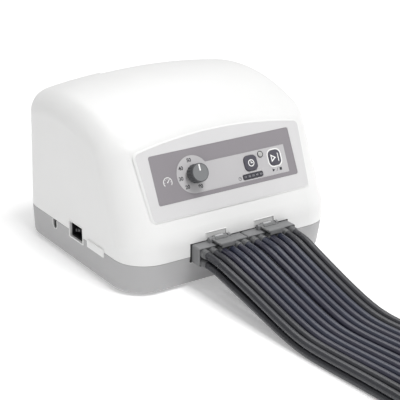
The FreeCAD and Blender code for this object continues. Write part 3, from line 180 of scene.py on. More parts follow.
@dataclass(frozen=True)
class Finish:
    """A surface finish, made into a node material when it is first asked for."""

    name: str
    colour: Point
    roughness: float = 0.45
    grain: Grain = Grain.MOULDED
    scale: float = 900.0
    relief: float = 0.06
    drift: float = 0.03
    metallic: float = 0.0
    coat: float = 0.0
    emission: float = 0.0
    worn: float = 0.0
    specular: float = 0.5
    coat_roughness: float = 0.12
    cloud_scale: float = 26.0
    cloud_detail: float = 3.0
    cloud_ends: Point2 = (0.3, 0.7)
    gloss_drift: float = 0.06
    least_gloss: float = 0.04
    relief_height: float = 0.0004
    grain_detail: float = 2.0
    drawn_stretch: Point = (0.05, 1.0, 1.0)
    thread_waver: float = 1.0
    worn_bend: Point2 = (0.52, 0.62)
    worn_gain: float = 1.5
    worn_lift: float = 0.05

    def material(self) -> bpy.types.Material:
        """The material of this finish."""
        found = bpy.data.materials.get(self.name + "_finish")
        return found if found else self._build()

    def _build(self) -> bpy.types.Material:
        """Make the node tree: drifting colour, drifting gloss and relief, all in object space.

        Returns:
            The new material.
        """
        made = bpy.data.materials.new(self.name + "_finish")
        made.use_nodes = True
        tree = made.node_tree
        shader = tree.nodes["Principled BSDF"]
        fixed = {"Metallic": self.metallic, "Specular IOR Level": self.specular, "Coat Weight": self.coat,
                 "Coat Roughness": self.coat_roughness}
        if self.emission:
            fixed |= {"Emission Color": (*self.colour, 1.0), "Emission Strength": self.emission}
        for socket, value in fixed.items():
            shader.inputs[socket].default_value = value
        place = wired(tree, "ShaderNodeTexCoord").outputs["Object"]
        clouds = wired(tree, "ShaderNodeTexNoise", {"Scale": self.cloud_scale, "Detail": self.cloud_detail},
                       {"Vector": place}).outputs["Fac"]
        tree.links.new(self._tint(tree, clouds), shader.inputs["Base Color"])
        gloss = wired(tree, "ShaderNodeMapRange",
                      {"To Min": max(self.least_gloss, self.roughness - self.gloss_drift),
                       "To Max": min(1.0, self.roughness + self.gloss_drift)}, {"Value": clouds})
        tree.links.new(gloss.outputs["Result"], shader.inputs["Roughness"])
        bump = wired(tree, "ShaderNodeBump", {"Strength": self.relief, "Distance": self.relief_height},
                     {"Height": self._grain_height(tree, place)})
        tree.links.new(bump.outputs["Normal"], shader.inputs["Normal"])
        return made

    def _shade(self, gain: float, lift: float = 0.0) -> tuple[float, ...]:
        """The colour times a gain, plus a lift, with its alpha."""
        return (*(min(1.0, channel * gain + lift) for channel in self.colour), 1.0)

    def _tint(self, tree: bpy.types.NodeTree, clouds: Socket) -> Socket:
        """The colour, a little darker and lighter in broad clouds, and lighter along worn edges.

        Args:
            tree: the material's node tree.
            clouds: the broad noise.

        Returns:
            The socket that carries the colour.
        """
        ramp = wired(tree, "ShaderNodeValToRGB", links={"Fac": clouds})
        for end, place, sign in zip(ramp.color_ramp.elements, self.cloud_ends, (-1, 1)):
            end.position = place
            end.color = self._shade(1.0 + sign * self.drift)
        return self._wear(tree, ramp.outputs["Color"]) if self.worn else ramp.outputs["Color"]

    def _wear(self, tree: bpy.types.NodeTree, colour: Socket) -> Socket:
        """Lighten a colour along edges, as handling does.

        Args:
            tree: the material's node tree.
            colour: the socket that carries the colour.

        Returns:
            The socket that carries the worn colour.
        """
        bend = wired(tree, "ShaderNodeNewGeometry").outputs["Pointiness"]
        edges = wired(tree, "ShaderNodeMapRange",
                      {"From Min": self.worn_bend[0], "From Max": self.worn_bend[1], "To Max": self.worn},
                      {"Value": bend})
        mixed = wired(tree, "ShaderNodeMix", {"B": self._shade(self.worn_gain, self.worn_lift)},
                      {"Factor": edges.outputs["Result"], "A": colour}, data_type="RGBA")
        return mixed.outputs["Result"]

    def _grain_height(self, tree: bpy.types.NodeTree, place: Socket) -> Socket:
        """The relief of the grain.

        Args:
            tree: the material's node tree.
            place: the socket that carries the place in object space.

        Returns:
            The socket that carries the height.
        """
        if self.grain is Grain.WOVEN:
            threads = wired(tree, "ShaderNodeTexWave", {"Scale": self.scale, "Distortion": self.thread_waver},
                            {"Vector": place})
            return threads.outputs["Fac"]
        if self.grain is Grain.METAL:
            place = wired(tree, "ShaderNodeMapping", {"Scale": self.drawn_stretch},
                          {"Vector": place}).outputs["Vector"]
        fine = wired(tree, "ShaderNodeTexNoise", {"Scale": self.scale, "Detail": self.grain_detail},
                     {"Vector": place})
        if self.grain is not Grain.MOULDED:
            return fine.outputs["Fac"]
        cells = wired(tree, "ShaderNodeTexVoronoi", {"Scale": self.scale}, {"Vector": place})
        both = wired(tree, "ShaderNodeMath", links={0: cells.outputs["Distance"], 1: fine.outputs["Fac"]},
                     operation="ADD")
        return both.outputs["Value"]


# The case and its panel.
# The cover's white; on the ridge under the outlets it also paints a highlight on the grey base.
COVER_AND_HIGHLIGHT = Finish("cover_plastic", (0.82, 0.82, 0.815), roughness=0.42, relief=0.03, drift=0.008, specular=0.4)
BASE = Finish("base_plastic", (0.448, 0.446, 0.451), roughness=0.5, relief=0.05, drift=0.015, specular=0.3)
SURROUND = Finish("panel_light", (0.68, 0.675, 0.68), roughness=0.5, grain=Grain.SATIN, relief=0.02,
                  drift=0.01, specular=0.25)
FIELD = Finish("panel_dark", (0.285, 0.268, 0.285), roughness=0.5, grain=Grain.SATIN, relief=0.02,
               drift=0.015, specular=0.2)
PLATE = Finish("plate_light", (0.53, 0.52, 0.53), roughness=0.5, grain=Grain.SATIN, relief=0.02,
               drift=0.01, specular=0.2)
WHITE_PRINT = Finish("white_mark", (0.92, 0.92, 0.91), roughness=0.4, grain=Grain.SATIN)
GREY_PRINT = Finish("dim_mark", (0.40, 0.40, 0.42), roughness=0.5, grain=Grain.SATIN)
DARK_PRINT = Finish("dark_print", (0.045, 0.045, 0.052), roughness=0.6, grain=Grain.SATIN, specular=0.2)
KNOB = Finish("knob_plastic", (0.085, 0.088, 0.092), roughness=0.42, relief=0.05, worn=0.25, specular=0.35)
KNOB_FACE = Finish("knob_face", (0.215, 0.22, 0.225), roughness=0.4, relief=0.03, specular=0.35)
KEY = Finish("key_plastic", (0.095, 0.091, 0.112), roughness=0.36, grain=Grain.SATIN, relief=0.03,
             specular=0.3)
LENS = Finish("lamp_lens", (0.50, 0.50, 0.49), roughness=0.2, grain=Grain.SATIN, coat=0.5)
WINDOW = Finish("scale_window", (0.060, 0.058, 0.070), roughness=0.28, grain=Grain.SATIN, specular=0.3)
# Black rubber of the feet; the same colour also paints shade in the notch and in the gap round the plugs.
RUBBER = Finish("foot_rubber", (0.02, 0.02, 0.021), roughness=0.75, grain=Grain.RUBBER, relief=0.15)

# The mains inlet, and what the case holds.
INLET = Finish("inlet_plastic", (0.012, 0.012, 0.014), roughness=0.4, relief=0.05, worn=0.2, specular=0.3)
NICKEL = Finish("dull_nickel", (0.20, 0.20, 0.205), roughness=0.38, grain=Grain.METAL, metallic=1.0)
STEEL = Finish("bright_steel", (0.62, 0.62, 0.64), roughness=0.3, grain=Grain.METAL, metallic=1.0)
BOARD = Finish("board_laminate", (0.02, 0.12, 0.05), roughness=0.35)
CORE = Finish("transformer_steel", (0.20, 0.20, 0.21), roughness=0.45, grain=Grain.METAL, metallic=0.8,
              relief=0.2)
CAST = Finish("cast_aluminium", (0.52, 0.53, 0.54), roughness=0.5, metallic=0.9, relief=0.2)
BRASS = Finish("brass_fitting", (0.62, 0.46, 0.20), roughness=0.3, grain=Grain.METAL, metallic=1.0)
ACETAL = Finish("valve_plastic", (0.62, 0.60, 0.54), roughness=0.5)
MOTOR = Finish("motor_steel", (0.45, 0.45, 0.46), roughness=0.35, grain=Grain.METAL, metallic=1.0)
TUBE = Finish("air_tube", (0.62, 0.61, 0.58), roughness=0.4, grain=Grain.RUBBER)

# The plugs, the latches and the hoses.
SOCKET = Finish("socket_plastic", (0.12, 0.122, 0.125), roughness=0.5, specular=0.3)
CONNECTOR = Finish("connector_plastic", (0.19, 0.192, 0.196), roughness=0.45, relief=0.06, worn=0.3,
                   specular=0.35)
COLLAR = Finish("collar_plastic", (0.115, 0.117, 0.120), roughness=0.30, relief=0.04)
# A darker copy of the connector plastic, put on the plugs' fronts as painted shade.
PLUG_FRONT_SHADE = Finish("plug_face", (0.085, 0.087, 0.090), roughness=0.45, relief=0.06, specular=0.3)
LATCH = Finish("latch_plastic", (0.185, 0.187, 0.19), roughness=0.38, relief=0.06, worn=0.35, specular=0.45)
LATCH_PAD = Finish("latch_pad", (0.50, 0.505, 0.51), roughness=0.35, relief=0.04)
HOSE = Finish("hose_vinyl", (0.030, 0.030, 0.050), roughness=0.25, grain=Grain.RUBBER, scale=500.0,
              drift=0.12, relief=0.1)
HOSE_GREY = Finish("hose_vinyl_grey", (0.029, 0.030, 0.036), roughness=0.28, grain=Grain.RUBBER, scale=500.0,
                   drift=0.12, relief=0.1)
HOSE_BLUE = Finish("hose_vinyl_blue", (0.028, 0.032, 0.055), roughness=0.24, grain=Grain.RUBBER, scale=500.0,
                   drift=0.12, relief=0.1)
STRAP = Finish("tie_strap", (0.02, 0.02, 0.022), roughness=0.8, grain=Grain.WOVEN, scale=700.0, relief=0.5)

FLOOR = Finish("studio_floor", (0.93, 0.93, 0.93), roughness=0.7, drift=0.003, relief=0.0, specular=0.2,
               emission=0.27)

# The finish of each of the record's material slots, for the CAD nodes that stay.
SLOT_FINISHES = {finish.name: finish for finish in (
    COVER_AND_HIGHLIGHT, BASE, SURROUND, FIELD, PLATE, WHITE_PRINT, KNOB, KEY, LENS, WINDOW, RUBBER, INLET, STEEL, BOARD,
    CORE, CAST, BRASS, ACETAL, MOTOR, TUBE, SOCKET, CONNECTOR, LATCH, HOSE, STRAP)}


# ---------------------------------------------------------------------------- outlines

def polar(centre: Point2, radius: float, turn: float) -> Point2:
    """The point at a radius and a turn, in radians anticlockwise from the drawing's X axis."""
    return (centre[0] + radius * math.cos(turn), centre[1] + radius * math.sin(turn))


def arc(radius: float, start: float, end: float, centre: Point2 = (0.0, 0.0), steps: int = 16
        ) -> list[Point2]:
    """Points on an arc.

    Args:
        radius: its radius.
        start: the angle of its first point, in degrees anticlockwise from the drawing's X axis.
        end: the angle of its last point.
        centre: its middle.
        steps: its runs.

    Returns:
        The points, one more than the runs.
    """
    return [polar(centre, radius, math.radians(start + (end - start) * i / steps)) for i in range(steps + 1)]


def circle(radius: float, centre: Point2 = (0.0, 0.0), steps: int = 40) -> list[Point2]:
    """Points on a circle, anticlockwise."""
    return [polar(centre, radius, math.tau * i / steps) for i in range(steps)]


def rectangle(width: float, height: float, radius: float, centre: Point2 = (0.0, 0.0), steps: int = 6
              ) -> list[Point2]:
    """A rectangle with rounded corners.

    Args:
        width: its size across the drawing.
        height: its size up the drawing.
        radius: the radius of its corners.
        centre: its middle.
        steps: the runs of each corner.

    Returns:
        The points, anticlockwise.
    """
    outline = []
    for quarter, (sx, sy) in enumerate(((1, 1), (-1, 1), (-1, -1), (1, -1))):
        hub = (centre[0] + sx * (width / 2 - radius), centre[1] + sy * (height / 2 - radius))
        outline += [polar(hub, radius, math.pi / 2 * (quarter + i / steps)) for i in range(steps + 1)]
    return outline


def triangle(width: float, height: float, centre: Point2) -> list[Point2]:
    """A triangle that points along the drawing's X axis, anticlockwise."""
    x, y = centre
    return [(x - width / 2, y - height / 2), (x + width / 2, y), (x - width / 2, y + height / 2)]


def stroke(points: Sequence[Point2], width: float) -> list[Point2]:
    """The outline of a line of an even width.

    Args:
        points: what the line runs through.
        width: how wide it is.

    Returns:
        The points, anticlockwise.
    """
    near, far = [], []
    for i, (x, y) in enumerate(points):
        along = (Vector(points[min(i + 1, len(points) - 1)]) - Vector(points[max(i - 1, 0)])).normalized()
        near.append((x + along.y * width / 2, y - along.x * width / 2))
        far.append((x - along.y * width / 2, y + along.x * width / 2))
    return near + far[::-1]


def softened(corners: Sequence[Point2], radius: float, rounded: Sequence[int], steps: int = 6
             ) -> list[Point2]:
    """An outline with some of its corners rounded.

    Args:
        corners: the outline, anticlockwise.
        radius: the radius of the rounded corners.
        rounded: which corners are rounded.
        steps: the runs of each of them.

    Returns:
        The new outline.
    """
    outline = []
    for i, corner in enumerate(corners):
        if i not in rounded:
            outline.append(corner)
            continue
        here = Vector(corner)
        before = (Vector(corners[i - 1]) - here).normalized()
        after = (Vector(corners[(i + 1) % len(corners)]) - here).normalized()
        half = before.angle(after) / 2
        hub = here + (before + after).normalized() * (radius / math.sin(half))
        start = here + before * (radius / math.tan(half)) - hub
        sweep = math.pi - 2 * half
        outline += [polar(hub, radius, math.atan2(start.y, start.x) + sweep * k / steps)
                    for k in range(steps + 1)]
    return outline


def raised(outline: Sequence[Point2], level: float) -> list[Point]:
    """An outline lifted to a level."""
    return [(x, y, level) for x, y in outline]


def pillow(width: float, height: float, corner: float, centre: Point2, foot: float, top: float, edge: float
           ) -> list[list[Point]]:
    """The loops of a cap with rounded corners and a soft edge.

    Args:
        width: its width at the foot.
        height: its height in the drawing.
        corner: the radius of its corners.
        centre: its middle in the drawing.
        foot: where it starts.
        top: its face.
        edge: the radius of the edge round its face.

    Returns:
        The loops, from the foot to the face.
    """
    loops = [raised(rectangle(width, height, corner, centre), foot)]
    steps = 4
    for i in range(steps + 1):
        turn = math.pi / 2 * i / steps
        inset = edge * (1 - math.cos(turn))
        outline = rectangle(width - 2 * inset, height - 2 * inset, corner - inset, centre)
        loops.append(raised(outline, top - edge * (1 - math.sin(turn))))
    return loops


# ---------------------------------------------------------------------------- meshes and pieces

def skinned(name: str, corners: Sequence[Point | Vector], faces: Sequence[Sequence[int]]) -> Mesh:
    """A mesh of corners and faces.

    Args:
        name: its name.
        corners: its corners.
        faces: the corners of each face, by number.

    Returns:
        The mesh.
    """
    mesh = bpy.data.meshes.new(name)
    mesh.from_pydata(corners, [], faces)
    return mesh


def band(here: int, there: int, count: int) -> list[tuple[int, ...]]:
    """The faces between two loops of as many corners, by the number of each loop's first corner."""
    return [(here + i, here + (i + 1) % count, there + (i + 1) % count, there + i) for i in range(count)]


def lofted(loops: Sequence[Sequence[Point]], place: Matrix = SHARED_FRAME) -> Mesh:
    """A closed skin through loops of as many points, capped at both ends.

    Args:
        loops: the loops, from the foot to the top, each anticlockwise seen from above.
        place: the drawing's frame.

    Returns:
        The closed mesh.
    """
    count = len(loops[0])
    last = count * (len(loops) - 1)
    faces = [tuple(range(count))[::-1], tuple(range(last, last + count))]
    for k in range(len(loops) - 1):
        faces += band(k * count, (k + 1) * count, count)
    return skinned("lofted", [place @ Vector(corner) for loop in loops for corner in loop], faces)


def prism(outline: Sequence[Point2], low: float, high: float, place: Matrix = SHARED_FRAME) -> Mesh:
    """A flat outline drawn up between two levels."""
    return lofted([raised(outline, low), raised(outline, high)], place)


def ringed(section: Sequence[tuple[Sequence[Point2], float]], place: Matrix) -> Mesh:
    """A closed ring whose section runs through outlines of as many points.

    Args:
        section: each outline, anticlockwise, and its level, from the outer foot over the top to the inner
            foot.
        place: the drawing's frame.

    Returns:
        The closed mesh.
    """
    count = len(section[0][0])
    corners = [place @ Vector(corner) for outline, level in section for corner in raised(outline, level)]
    faces = []
    for k in range(len(section)):
        faces += band(k * count, (k + 1) % len(section) * count, count)
    return skinned("ringed", corners, faces)


def framed(outer: Sequence[Point2], inner: Sequence[Point2], low: float, high: float, place: Matrix) -> Mesh:
    """A flat ring between two outlines of as many points and two levels."""
    return ringed(((outer, low), (outer, high), (inner, high), (inner, low)), place)


def turned(profile: Sequence[Point2], place: Matrix, steps: int = 48) -> Mesh:
    """A shape turned on a lathe.

    Args:
        profile: points (radius, height) from the axis at the foot to the axis at the top.
        place: the frame whose Z is the axis.
        steps: the faces round the axis.

    Returns:
        The closed mesh.
    """
    build = bmesh.new()
    rings = []
    for radius, height in profile:
        around = [(0.0, 0.0)] if radius < ON_AXIS else circle(radius, steps=steps)
        rings.append([build.verts.new(place @ Vector(corner)) for corner in raised(around, height)])
    for lower, upper in zip(rings, rings[1:]):
        for i in range(steps):
            j = (i + 1) % steps
            corners = (lower[i % len(lower)], lower[j % len(lower)],
                       upper[j % len(upper)], upper[i % len(upper)])
            build.faces.new(list(dict.fromkeys(corners)))
    mesh = bpy.data.meshes.new("turned")
    build.normal_update()
    build.to_mesh(mesh)
    build.free()
    return mesh


def written(text: str, size: float, at: Point2, lift: float, place: Matrix, weight: float = 0.0) -> Mesh:
    """Figures as thin raised ink.

    Args:
        text: what is written.
        size: the height of the letters.
        at: the middle of the text in the drawing.
        lift: how high the ink's underside lies.
        place: the drawing's frame.
        weight: how much bolder the strokes are.

    Returns:
        The mesh of the figures.
    """
    curve = bpy.data.curves.new("figures", "FONT")
    curve.body = text
    curve.size = size
    curve.align_x = "CENTER"
    curve.align_y = "CENTER"
    curve.extrude = FIGURE_RELIEF
    curve.offset = weight
    holder = bpy.data.objects.new("figures", curve)
    mesh = bpy.data.meshes.new_from_object(holder)
    bpy.data.objects.remove(holder)
    mesh.transform(place @ Matrix.Translation((*at, lift)))
    return mesh


def joined(meshes: Iterable[Mesh]) -> Mesh:
    """Several meshes as one.

    Args:
        meshes: the meshes.

    Returns:
        The mesh of them all.
    """
    build = bmesh.new()
    for mesh in meshes:
        build.from_mesh(mesh)
    whole = bpy.data.meshes.new("joined")
    build.to_mesh(whole)
    build.free()
    return whole


def smooth(mesh: Mesh) -> None:
    """Shade a mesh smooth, apart from its sharp edges.

    Args:
        mesh: the mesh.
    """
    mesh.polygons.foreach_set("use_smooth", [True] * len(mesh.polygons))
    mesh.set_sharp_from_angle(angle=math.radians(SMOOTH_ANGLE))
    mesh.update()


def placed(name: str, data: bpy.types.ID) -> Piece:
    """Put a mesh, curve, lamp or camera in the scene.

    Args:
        name: its name there.
        data: its data.

    Returns:
        The new object.
    """
    made = bpy.data.objects.new(name, data)
    bpy.context.scene.collection.objects.link(made)
    return made


def keep(name: str, mesh: Mesh, finish: Finish, body: str = "case") -> Piece:
    """Put a mesh in the scene as a finished piece.

    Args:
        name: the piece's name.
        mesh: its shape, in the shared frame.
        finish: its surface.
        body: the CAD body it rides on.

    Returns:
        The new piece.
    """
    piece = placed(name, mesh)
    mesh.materials.clear()
    mesh.materials.append(finish.material())
    smooth(mesh)
    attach(piece, body)
    return piece


def bevelled(piece: Piece, width: float, segments: int = 3) -> Piece:
    """Round a piece's sharp edges.

    Args:
        piece: the piece.
        width: how wide the rounding is.
        segments: its faces.

    Returns:
        The same piece.
    """
    bevel = piece.modifiers.new("edges", "BEVEL")
    bevel.width = width
    bevel.segments = segments
    bevel.limit_method = "ANGLE"
    bevel.angle_limit = math.radians(BEVEL_ANGLE)
    bevel.harden_normals = True
    return piece


class SubAssembly(ABC):
    """A part of the pump that is built of several pieces."""

    @abstractmethod
    def build(self) -> list[Piece]:
        """Build the pieces and return them."""


# ---------------------------------------------------------------------------- studio

@dataclass
class Studio:
    """The camera, the floor and the lights."""

    eye_before_front: Point = (-0.7561, -1.0682, 0.6062)
    azimuth: float = -33.45
    elevation: float = 21.53
    lens: float = 117.61
    sight: float = 50.0
    floor_size: float = 12.0
    sky: float = 0.58
    sky_lean: float = 0.20
    key_place: Point = (0.25, -1.75, 3.70)
    key_size: float = 1.6
    key_power: float = 96.0
    rim_place: Point = (0.63, 1.25, 2.45)
    rim_size: float = 2.0
    rim_power: float = 27.0

    def build(self) -> None:
        """Set up the whole studio."""
        self._camera()
        self._floor()
        self._sky()
        self._lamp("key", self.key_place, self.key_size, self.key_power)
        self._lamp("rim", self.rim_place, self.rim_size, self.rim_power).visible_diffuse = False
        bpy.context.scene.view_settings.view_transform = "Standard"

    def _camera(self) -> None:
        """A long lens from the front left, above the pump."""
        data = bpy.data.cameras.new("camera")
        data.lens = self.lens
        data.clip_end = self.sight
        camera = placed("camera", data)
        turn, rise = math.radians(self.azimuth), math.radians(self.elevation)
        ahead = Vector((-math.sin(turn) * math.cos(rise), math.cos(turn) * math.cos(rise), -math.sin(rise)))
        camera.location = Vector(self.eye_before_front) + Vector((0.0, FRONT, 0.0))
        self._aim(camera, ahead)
        bpy.context.scene.camera = camera

    def _floor(self) -> None:
        """A wide pale floor at the height of the feet."""
        half = self.floor_size / 2
        corners = [(-half, -half, 0), (half, -half, 0), (half, half, 0), (-half, half, 0)]
        floor = placed("floor", skinned("floor", corners, [(0, 1, 2, 3)]))
        floor.data.materials.append(FLOOR.material())

    def _sky(self) -> None:
        """White surroundings, a little dimmer to the left."""
        world = bpy.data.worlds.new("studio")
        bpy.context.scene.world = world
        world.use_nodes = True
        tree = world.node_tree
        background = tree.nodes["Background"]
        background.inputs["Color"].default_value = (1.0, 1.0, 1.0, 1.0)
        place = wired(tree, "ShaderNodeTexCoord").outputs["Generated"]
        parts = wired(tree, "ShaderNodeSeparateXYZ", links={"Vector": place})
        lean = wired(tree, "ShaderNodeMath", {1: self.sky * self.sky_lean, 2: self.sky},
                     {0: parts.outputs["X"]}, operation="MULTIPLY_ADD")
        tree.links.new(lean.outputs["Value"], background.inputs["Strength"])

    def _lamp(self, name: str, place: Point, size: float, power: float) -> bpy.types.Object:
        """A square soft box aimed at the pump.

        Args:
            name: what the lamp is called.
            place: where it stands.
            size: the side of the square.
            power: its power in watts.

        Returns:
            The lamp.
        """
        data = bpy.data.lights.new(name, "AREA")
        data.size = size
        data.energy = power
        lamp = placed(name, data)
        lamp.location = place
        self._aim(lamp, -Vector(place))
        return lamp

    def _aim(self, thing: bpy.types.Object, ahead: Vector) -> None:
        """Turn a lamp or the camera to look along a direction."""
        thing.rotation_mode = "QUATERNION"
        thing.rotation_quaternion = ahead.to_track_quat("-Z", "Y")


# ---------------------------------------------------------------------------- control panel

def printed(outline: Sequence[Point2], level: float) -> Mesh:
    """A flat shape printed on the panel or on a key, at a level above the panel."""
    return prism(outline, level, level + PRINT, PANEL)


def printed_clock(at: Point2, radius: float, hands: Point2, line: float, level: float) -> list[Mesh]:
    """A round clock with two hands.

    Args:
        at: its middle on the panel.
        radius: its radius.
        hands: how far the upright and the level hand reach.
        line: the width of its lines.
        level: its height above the panel.

    Returns:
        The shapes of the clock.
    """
    x, y = at
    up, across = hands
    ring = framed(circle(radius, at), circle(radius - line, at), level, level + PRINT, PANEL)
    return [ring, printed(stroke([(x, y - line / 2), (x, y + up)], line), level),
            printed(stroke([(x, y), (x + across, y)], line), level)]


@dataclass
class PanelPrint(SubAssembly):
    """The marks printed on the panel: dial figures, a gauge, and the marks round the keys."""

    line: float = 0.0007
    dial_at: Point2 = (-0.0422, 0.064)
    figure_radius: float = 0.0157
    figure_size: float = 0.0056
    figure_weight: float = 0.00016
    figures: tuple[tuple[str, float], ...] = (
        ("20", -141.0), ("30", -98.0), ("40", -56.0), ("50", -4.0), ("60", 67.0), ("70", 111.0),
        ("80", 157.0))
    gauge_at: Point2 = (-0.0745, 0.0615)
    gauge_radius: float = 0.0052
    gauge_sweep: Point2 = (-40.0, 220.0)
    gauge_hand: Point2 = (0.0027, 0.0030)
    gauge_hub_steps: int = 16
    tick_angles: tuple[float, ...] = (0.0, 45.0, 90.0, 135.0, 180.0)
    tick_inside: Point2 = (0.0019, 0.0009)
    tick_share: float = 0.7
    thin_share: float = 0.6
    clock_at: Point2 = (0.0148, 0.0476)
    clock_radius: float = 0.0020
    clock_hands: Point2 = (0.0012, 0.0010)
    start_mark_at: Point2 = (0.0655, 0.0487)
    start_size: Point2 = (0.0034, 0.0036)
    start_left: float = 0.0048
    slash_reach: Point2 = (0.0012, 0.0019)
    stop_size: float = 0.0031
    stop_corner: float = 0.0003
    stop_right: float = 0.0046

    def build(self) -> list[Piece]:
        """Print the dial, the gauge and the marks."""
        return [self._dial(), self._gauge(), self._key_marks()]

    def _dial(self) -> Piece:
        """Plain figures round the knob, each at its angle clockwise from the top.

        Returns:
            The figures, as one piece.
        """
        figures = []
        for text, angle in self.figures:
            turn = math.radians(angle)
            at = (self.dial_at[0] + self.figure_radius * math.sin(turn),
                  self.dial_at[1] + self.figure_radius * math.cos(turn))
            figures.append(written(text, self.figure_size, at, PLATE_TOP, PANEL, self.figure_weight))
        return keep("dial_figures", joined(figures), DARK_PRINT)

    def _gauge(self) -> Piece:
        """A white gauge beside the dial: an open ring, a hand on its hub and five ticks.

        Returns:
            The gauge, as one piece.
        """
        x, y = self.gauge_at
        across, up = self.gauge_hand
        shapes = [stroke(arc(self.gauge_radius, *self.gauge_sweep, self.gauge_at), self.line),
                  stroke([(x, y), (x + across, y + up)], self.line),
                  circle(self.line, self.gauge_at, self.gauge_hub_steps)]
        for angle in self.tick_angles:
            tick = [polar(self.gauge_at, self.gauge_radius - inside, math.radians(angle))
                    for inside in self.tick_inside]
            shapes.append(stroke(tick, self.line * self.tick_share))
        return keep("gauge_mark", joined(printed(shape, FIELD_TOP) for shape in shapes), WHITE_PRINT)

    def _key_marks(self) -> Piece:
        """A small clock before the time scale, and a start and a stop mark under the start key.

        Returns:
            The marks, as one piece.
        """
        thin = self.line * self.thin_share
        clock = printed_clock(self.clock_at, self.clock_radius, self.clock_hands, thin, PLATE_TOP)
        x, y = self.start_mark_at
        across, up = self.slash_reach
        shapes = [triangle(*self.start_size, (x - self.start_left, y)),
                  stroke([(x - across, y - up), (x + across, y + up)], thin),
                  rectangle(self.stop_size, self.stop_size, self.stop_corner, (x + self.stop_right, y))]
        marks = [printed(shape, PLATE_TOP) for shape in shapes]
        return keep("key_marks", joined(clock + marks), DARK_PRINT)


@dataclass
class TimerLamp(SubAssembly):
    """A pale domed lens in a dark ring."""

    at: Point2 = (0.0475, 0.0691)
    radius: float = 0.0037
    ring_width: float = 0.0008
    ring_top: float = 0.0017
    foot: float = -0.001
    chamfer: float = 0.0002
    outer_drop: float = 0.0005
    dome_foot: float = 0.0012
    dome_rise: float = 0.0008
    dome_step: int = 15

    def build(self) -> list[Piece]:
        """Turn the ring and the lens.

        Returns:
            The pieces.
        """
        place = PANEL @ Matrix.Translation((*self.at, 0.0))
        inner, top = self.radius - self.ring_width, self.ring_top
        ring = turned([(inner, self.foot), (self.radius, self.foot), (self.radius, top - self.outer_drop),
                       (self.radius - self.chamfer, top), (inner + self.chamfer, top),
                       (inner, top - self.chamfer), (inner, self.foot)], place)
        angles = [math.radians(angle) for angle in range(0, 90, self.dome_step)]
        dome = [(inner * math.cos(angle), self.dome_foot + self.dome_rise * math.sin(angle))
                for angle in angles]
        crown = (0.0, self.dome_foot + self.dome_rise)
        lens = turned([(0.0, self.foot), (inner, self.foot), *dome, crown], place)
        pieces = [keep("timer_lamp_ring", ring, KNOB), keep("timer_lamp_lens", lens, LENS)]
        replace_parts(pieces[1], "timer_lamp")
        return pieces


@dataclass
class TimeScale(SubAssembly):
    """A dark window with round fields, each with its figure."""

    at: Point2 = (0.0322, 0.048)
    size: Point2 = (0.0262, 0.0052)
    corner_share: float = 0.48
    foot: float = -0.0013
    top: float = 0.0013
    pitch: float = 0.0052
    field_radius: float = 0.0030
    field_sunk: float = 0.0006
    field_proud: float = 0.0003
    field_bevel: Point2 = (0.0003, 0.0002)
    field_steps: int = 32
    figures: tuple[str, ...] = ("10", "20", "30", "40", "50")
    figure_size: float = 0.0031

    def build(self) -> list[Piece]:
        """Mould the window, turn the fields and print their figures.

        Returns:
            The pieces.
        """
        corner = self.size[1] * self.corner_share
        window = lofted(pillow(*self.size, corner, self.at, self.foot, self.top, FULL_EDGE), PANEL)
        foot, face = self.top - self.field_sunk, self.top + self.field_proud
        inset, drop = self.field_bevel
        profile = [(0.0, foot), (self.field_radius, foot), (self.field_radius, face - drop),
                   (self.field_radius - inset, face), (0.0, face)]
        fields, figures = [], []
        for i, text in enumerate(self.figures):
            middle = (self.at[0] + (i - len(self.figures) // 2) * self.pitch, self.at[1])
            fields.append(turned(profile, PANEL @ Matrix.Translation((*middle, 0.0)), self.field_steps))
            figures.append(written(text, self.figure_size, middle, face, PANEL))
        pieces = [keep("time_scale_window", window, WINDOW),
                  keep("time_scale_fields", joined(fields), WINDOW),
                  keep("time_scale_figures", joined(figures), GREY_PRINT)]
        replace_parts(pieces[0], "time_display")
        return pieces


@dataclass
class PanelRim(SubAssembly):
    """The low white ramp of the cover round the light surround of the panel."""

    foot: float = 0.0228
    width: float = 0.203
    flare: float = 0.010
    apex: float = 0.107
    arch: float = 0.0105
    corner: float = 0.005
    gap: float = 0.0001
    reach: float = 0.0026
    crest: float = 0.0011
    crest_width: float = 0.0004
    root: float = -0.0004
    arch_steps: int = 12

    def build(self) -> list[Piece]:
        """Mould the ramp.

        Returns:
            The pieces.
        """
        inner, outer = self._outline(self.gap), self._outline(self.reach)
        mesh = ringed(((outer, self.root), (self._outline(self.gap + self.crest_width), self.crest),
                       (inner, self.crest), (inner, self.root)), PANEL)
        return [keep("panel_rim", mesh, COVER_AND_HIGHLIGHT)]

    def _outline(self, grow: float) -> list[Point2]:
        """The surround's outline, grown by a margin: a straight foot, leaning sides and an arched top.

        Args:
            grow: the margin.

        Returns:
            The points, anticlockwise.
        """
        low, high = self.width / 2, self.width / 2 + self.flare / 2
        radius = (high ** 2 + self.arch ** 2) / (2 * self.arch) + grow
        middle = self.apex + grow - radius
        shoulder = middle + math.sqrt(radius ** 2 - (high + grow) ** 2)
        lean = self.flare / 2 / (self.apex - self.foot)
        side = low + grow + lean * (shoulder - self.foot)
        foot = low + grow - lean * grow
        half = math.degrees(math.asin(side / radius))
        top = arc(radius, 90.0 - half, 90.0 + half, (0.0, middle), self.arch_steps)
        corners = [(-foot, self.foot - grow), (foot, self.foot - grow), *top]
        shoulders = (2, len(corners) - 1)
        return softened(corners, self.corner + grow, (0, 1, *shoulders))


class KeyMark(Enum):
    """The pictogram on a key."""

    CLOCK = "a round clock with two hands"
    START = "a hollow triangle before an upright bar"


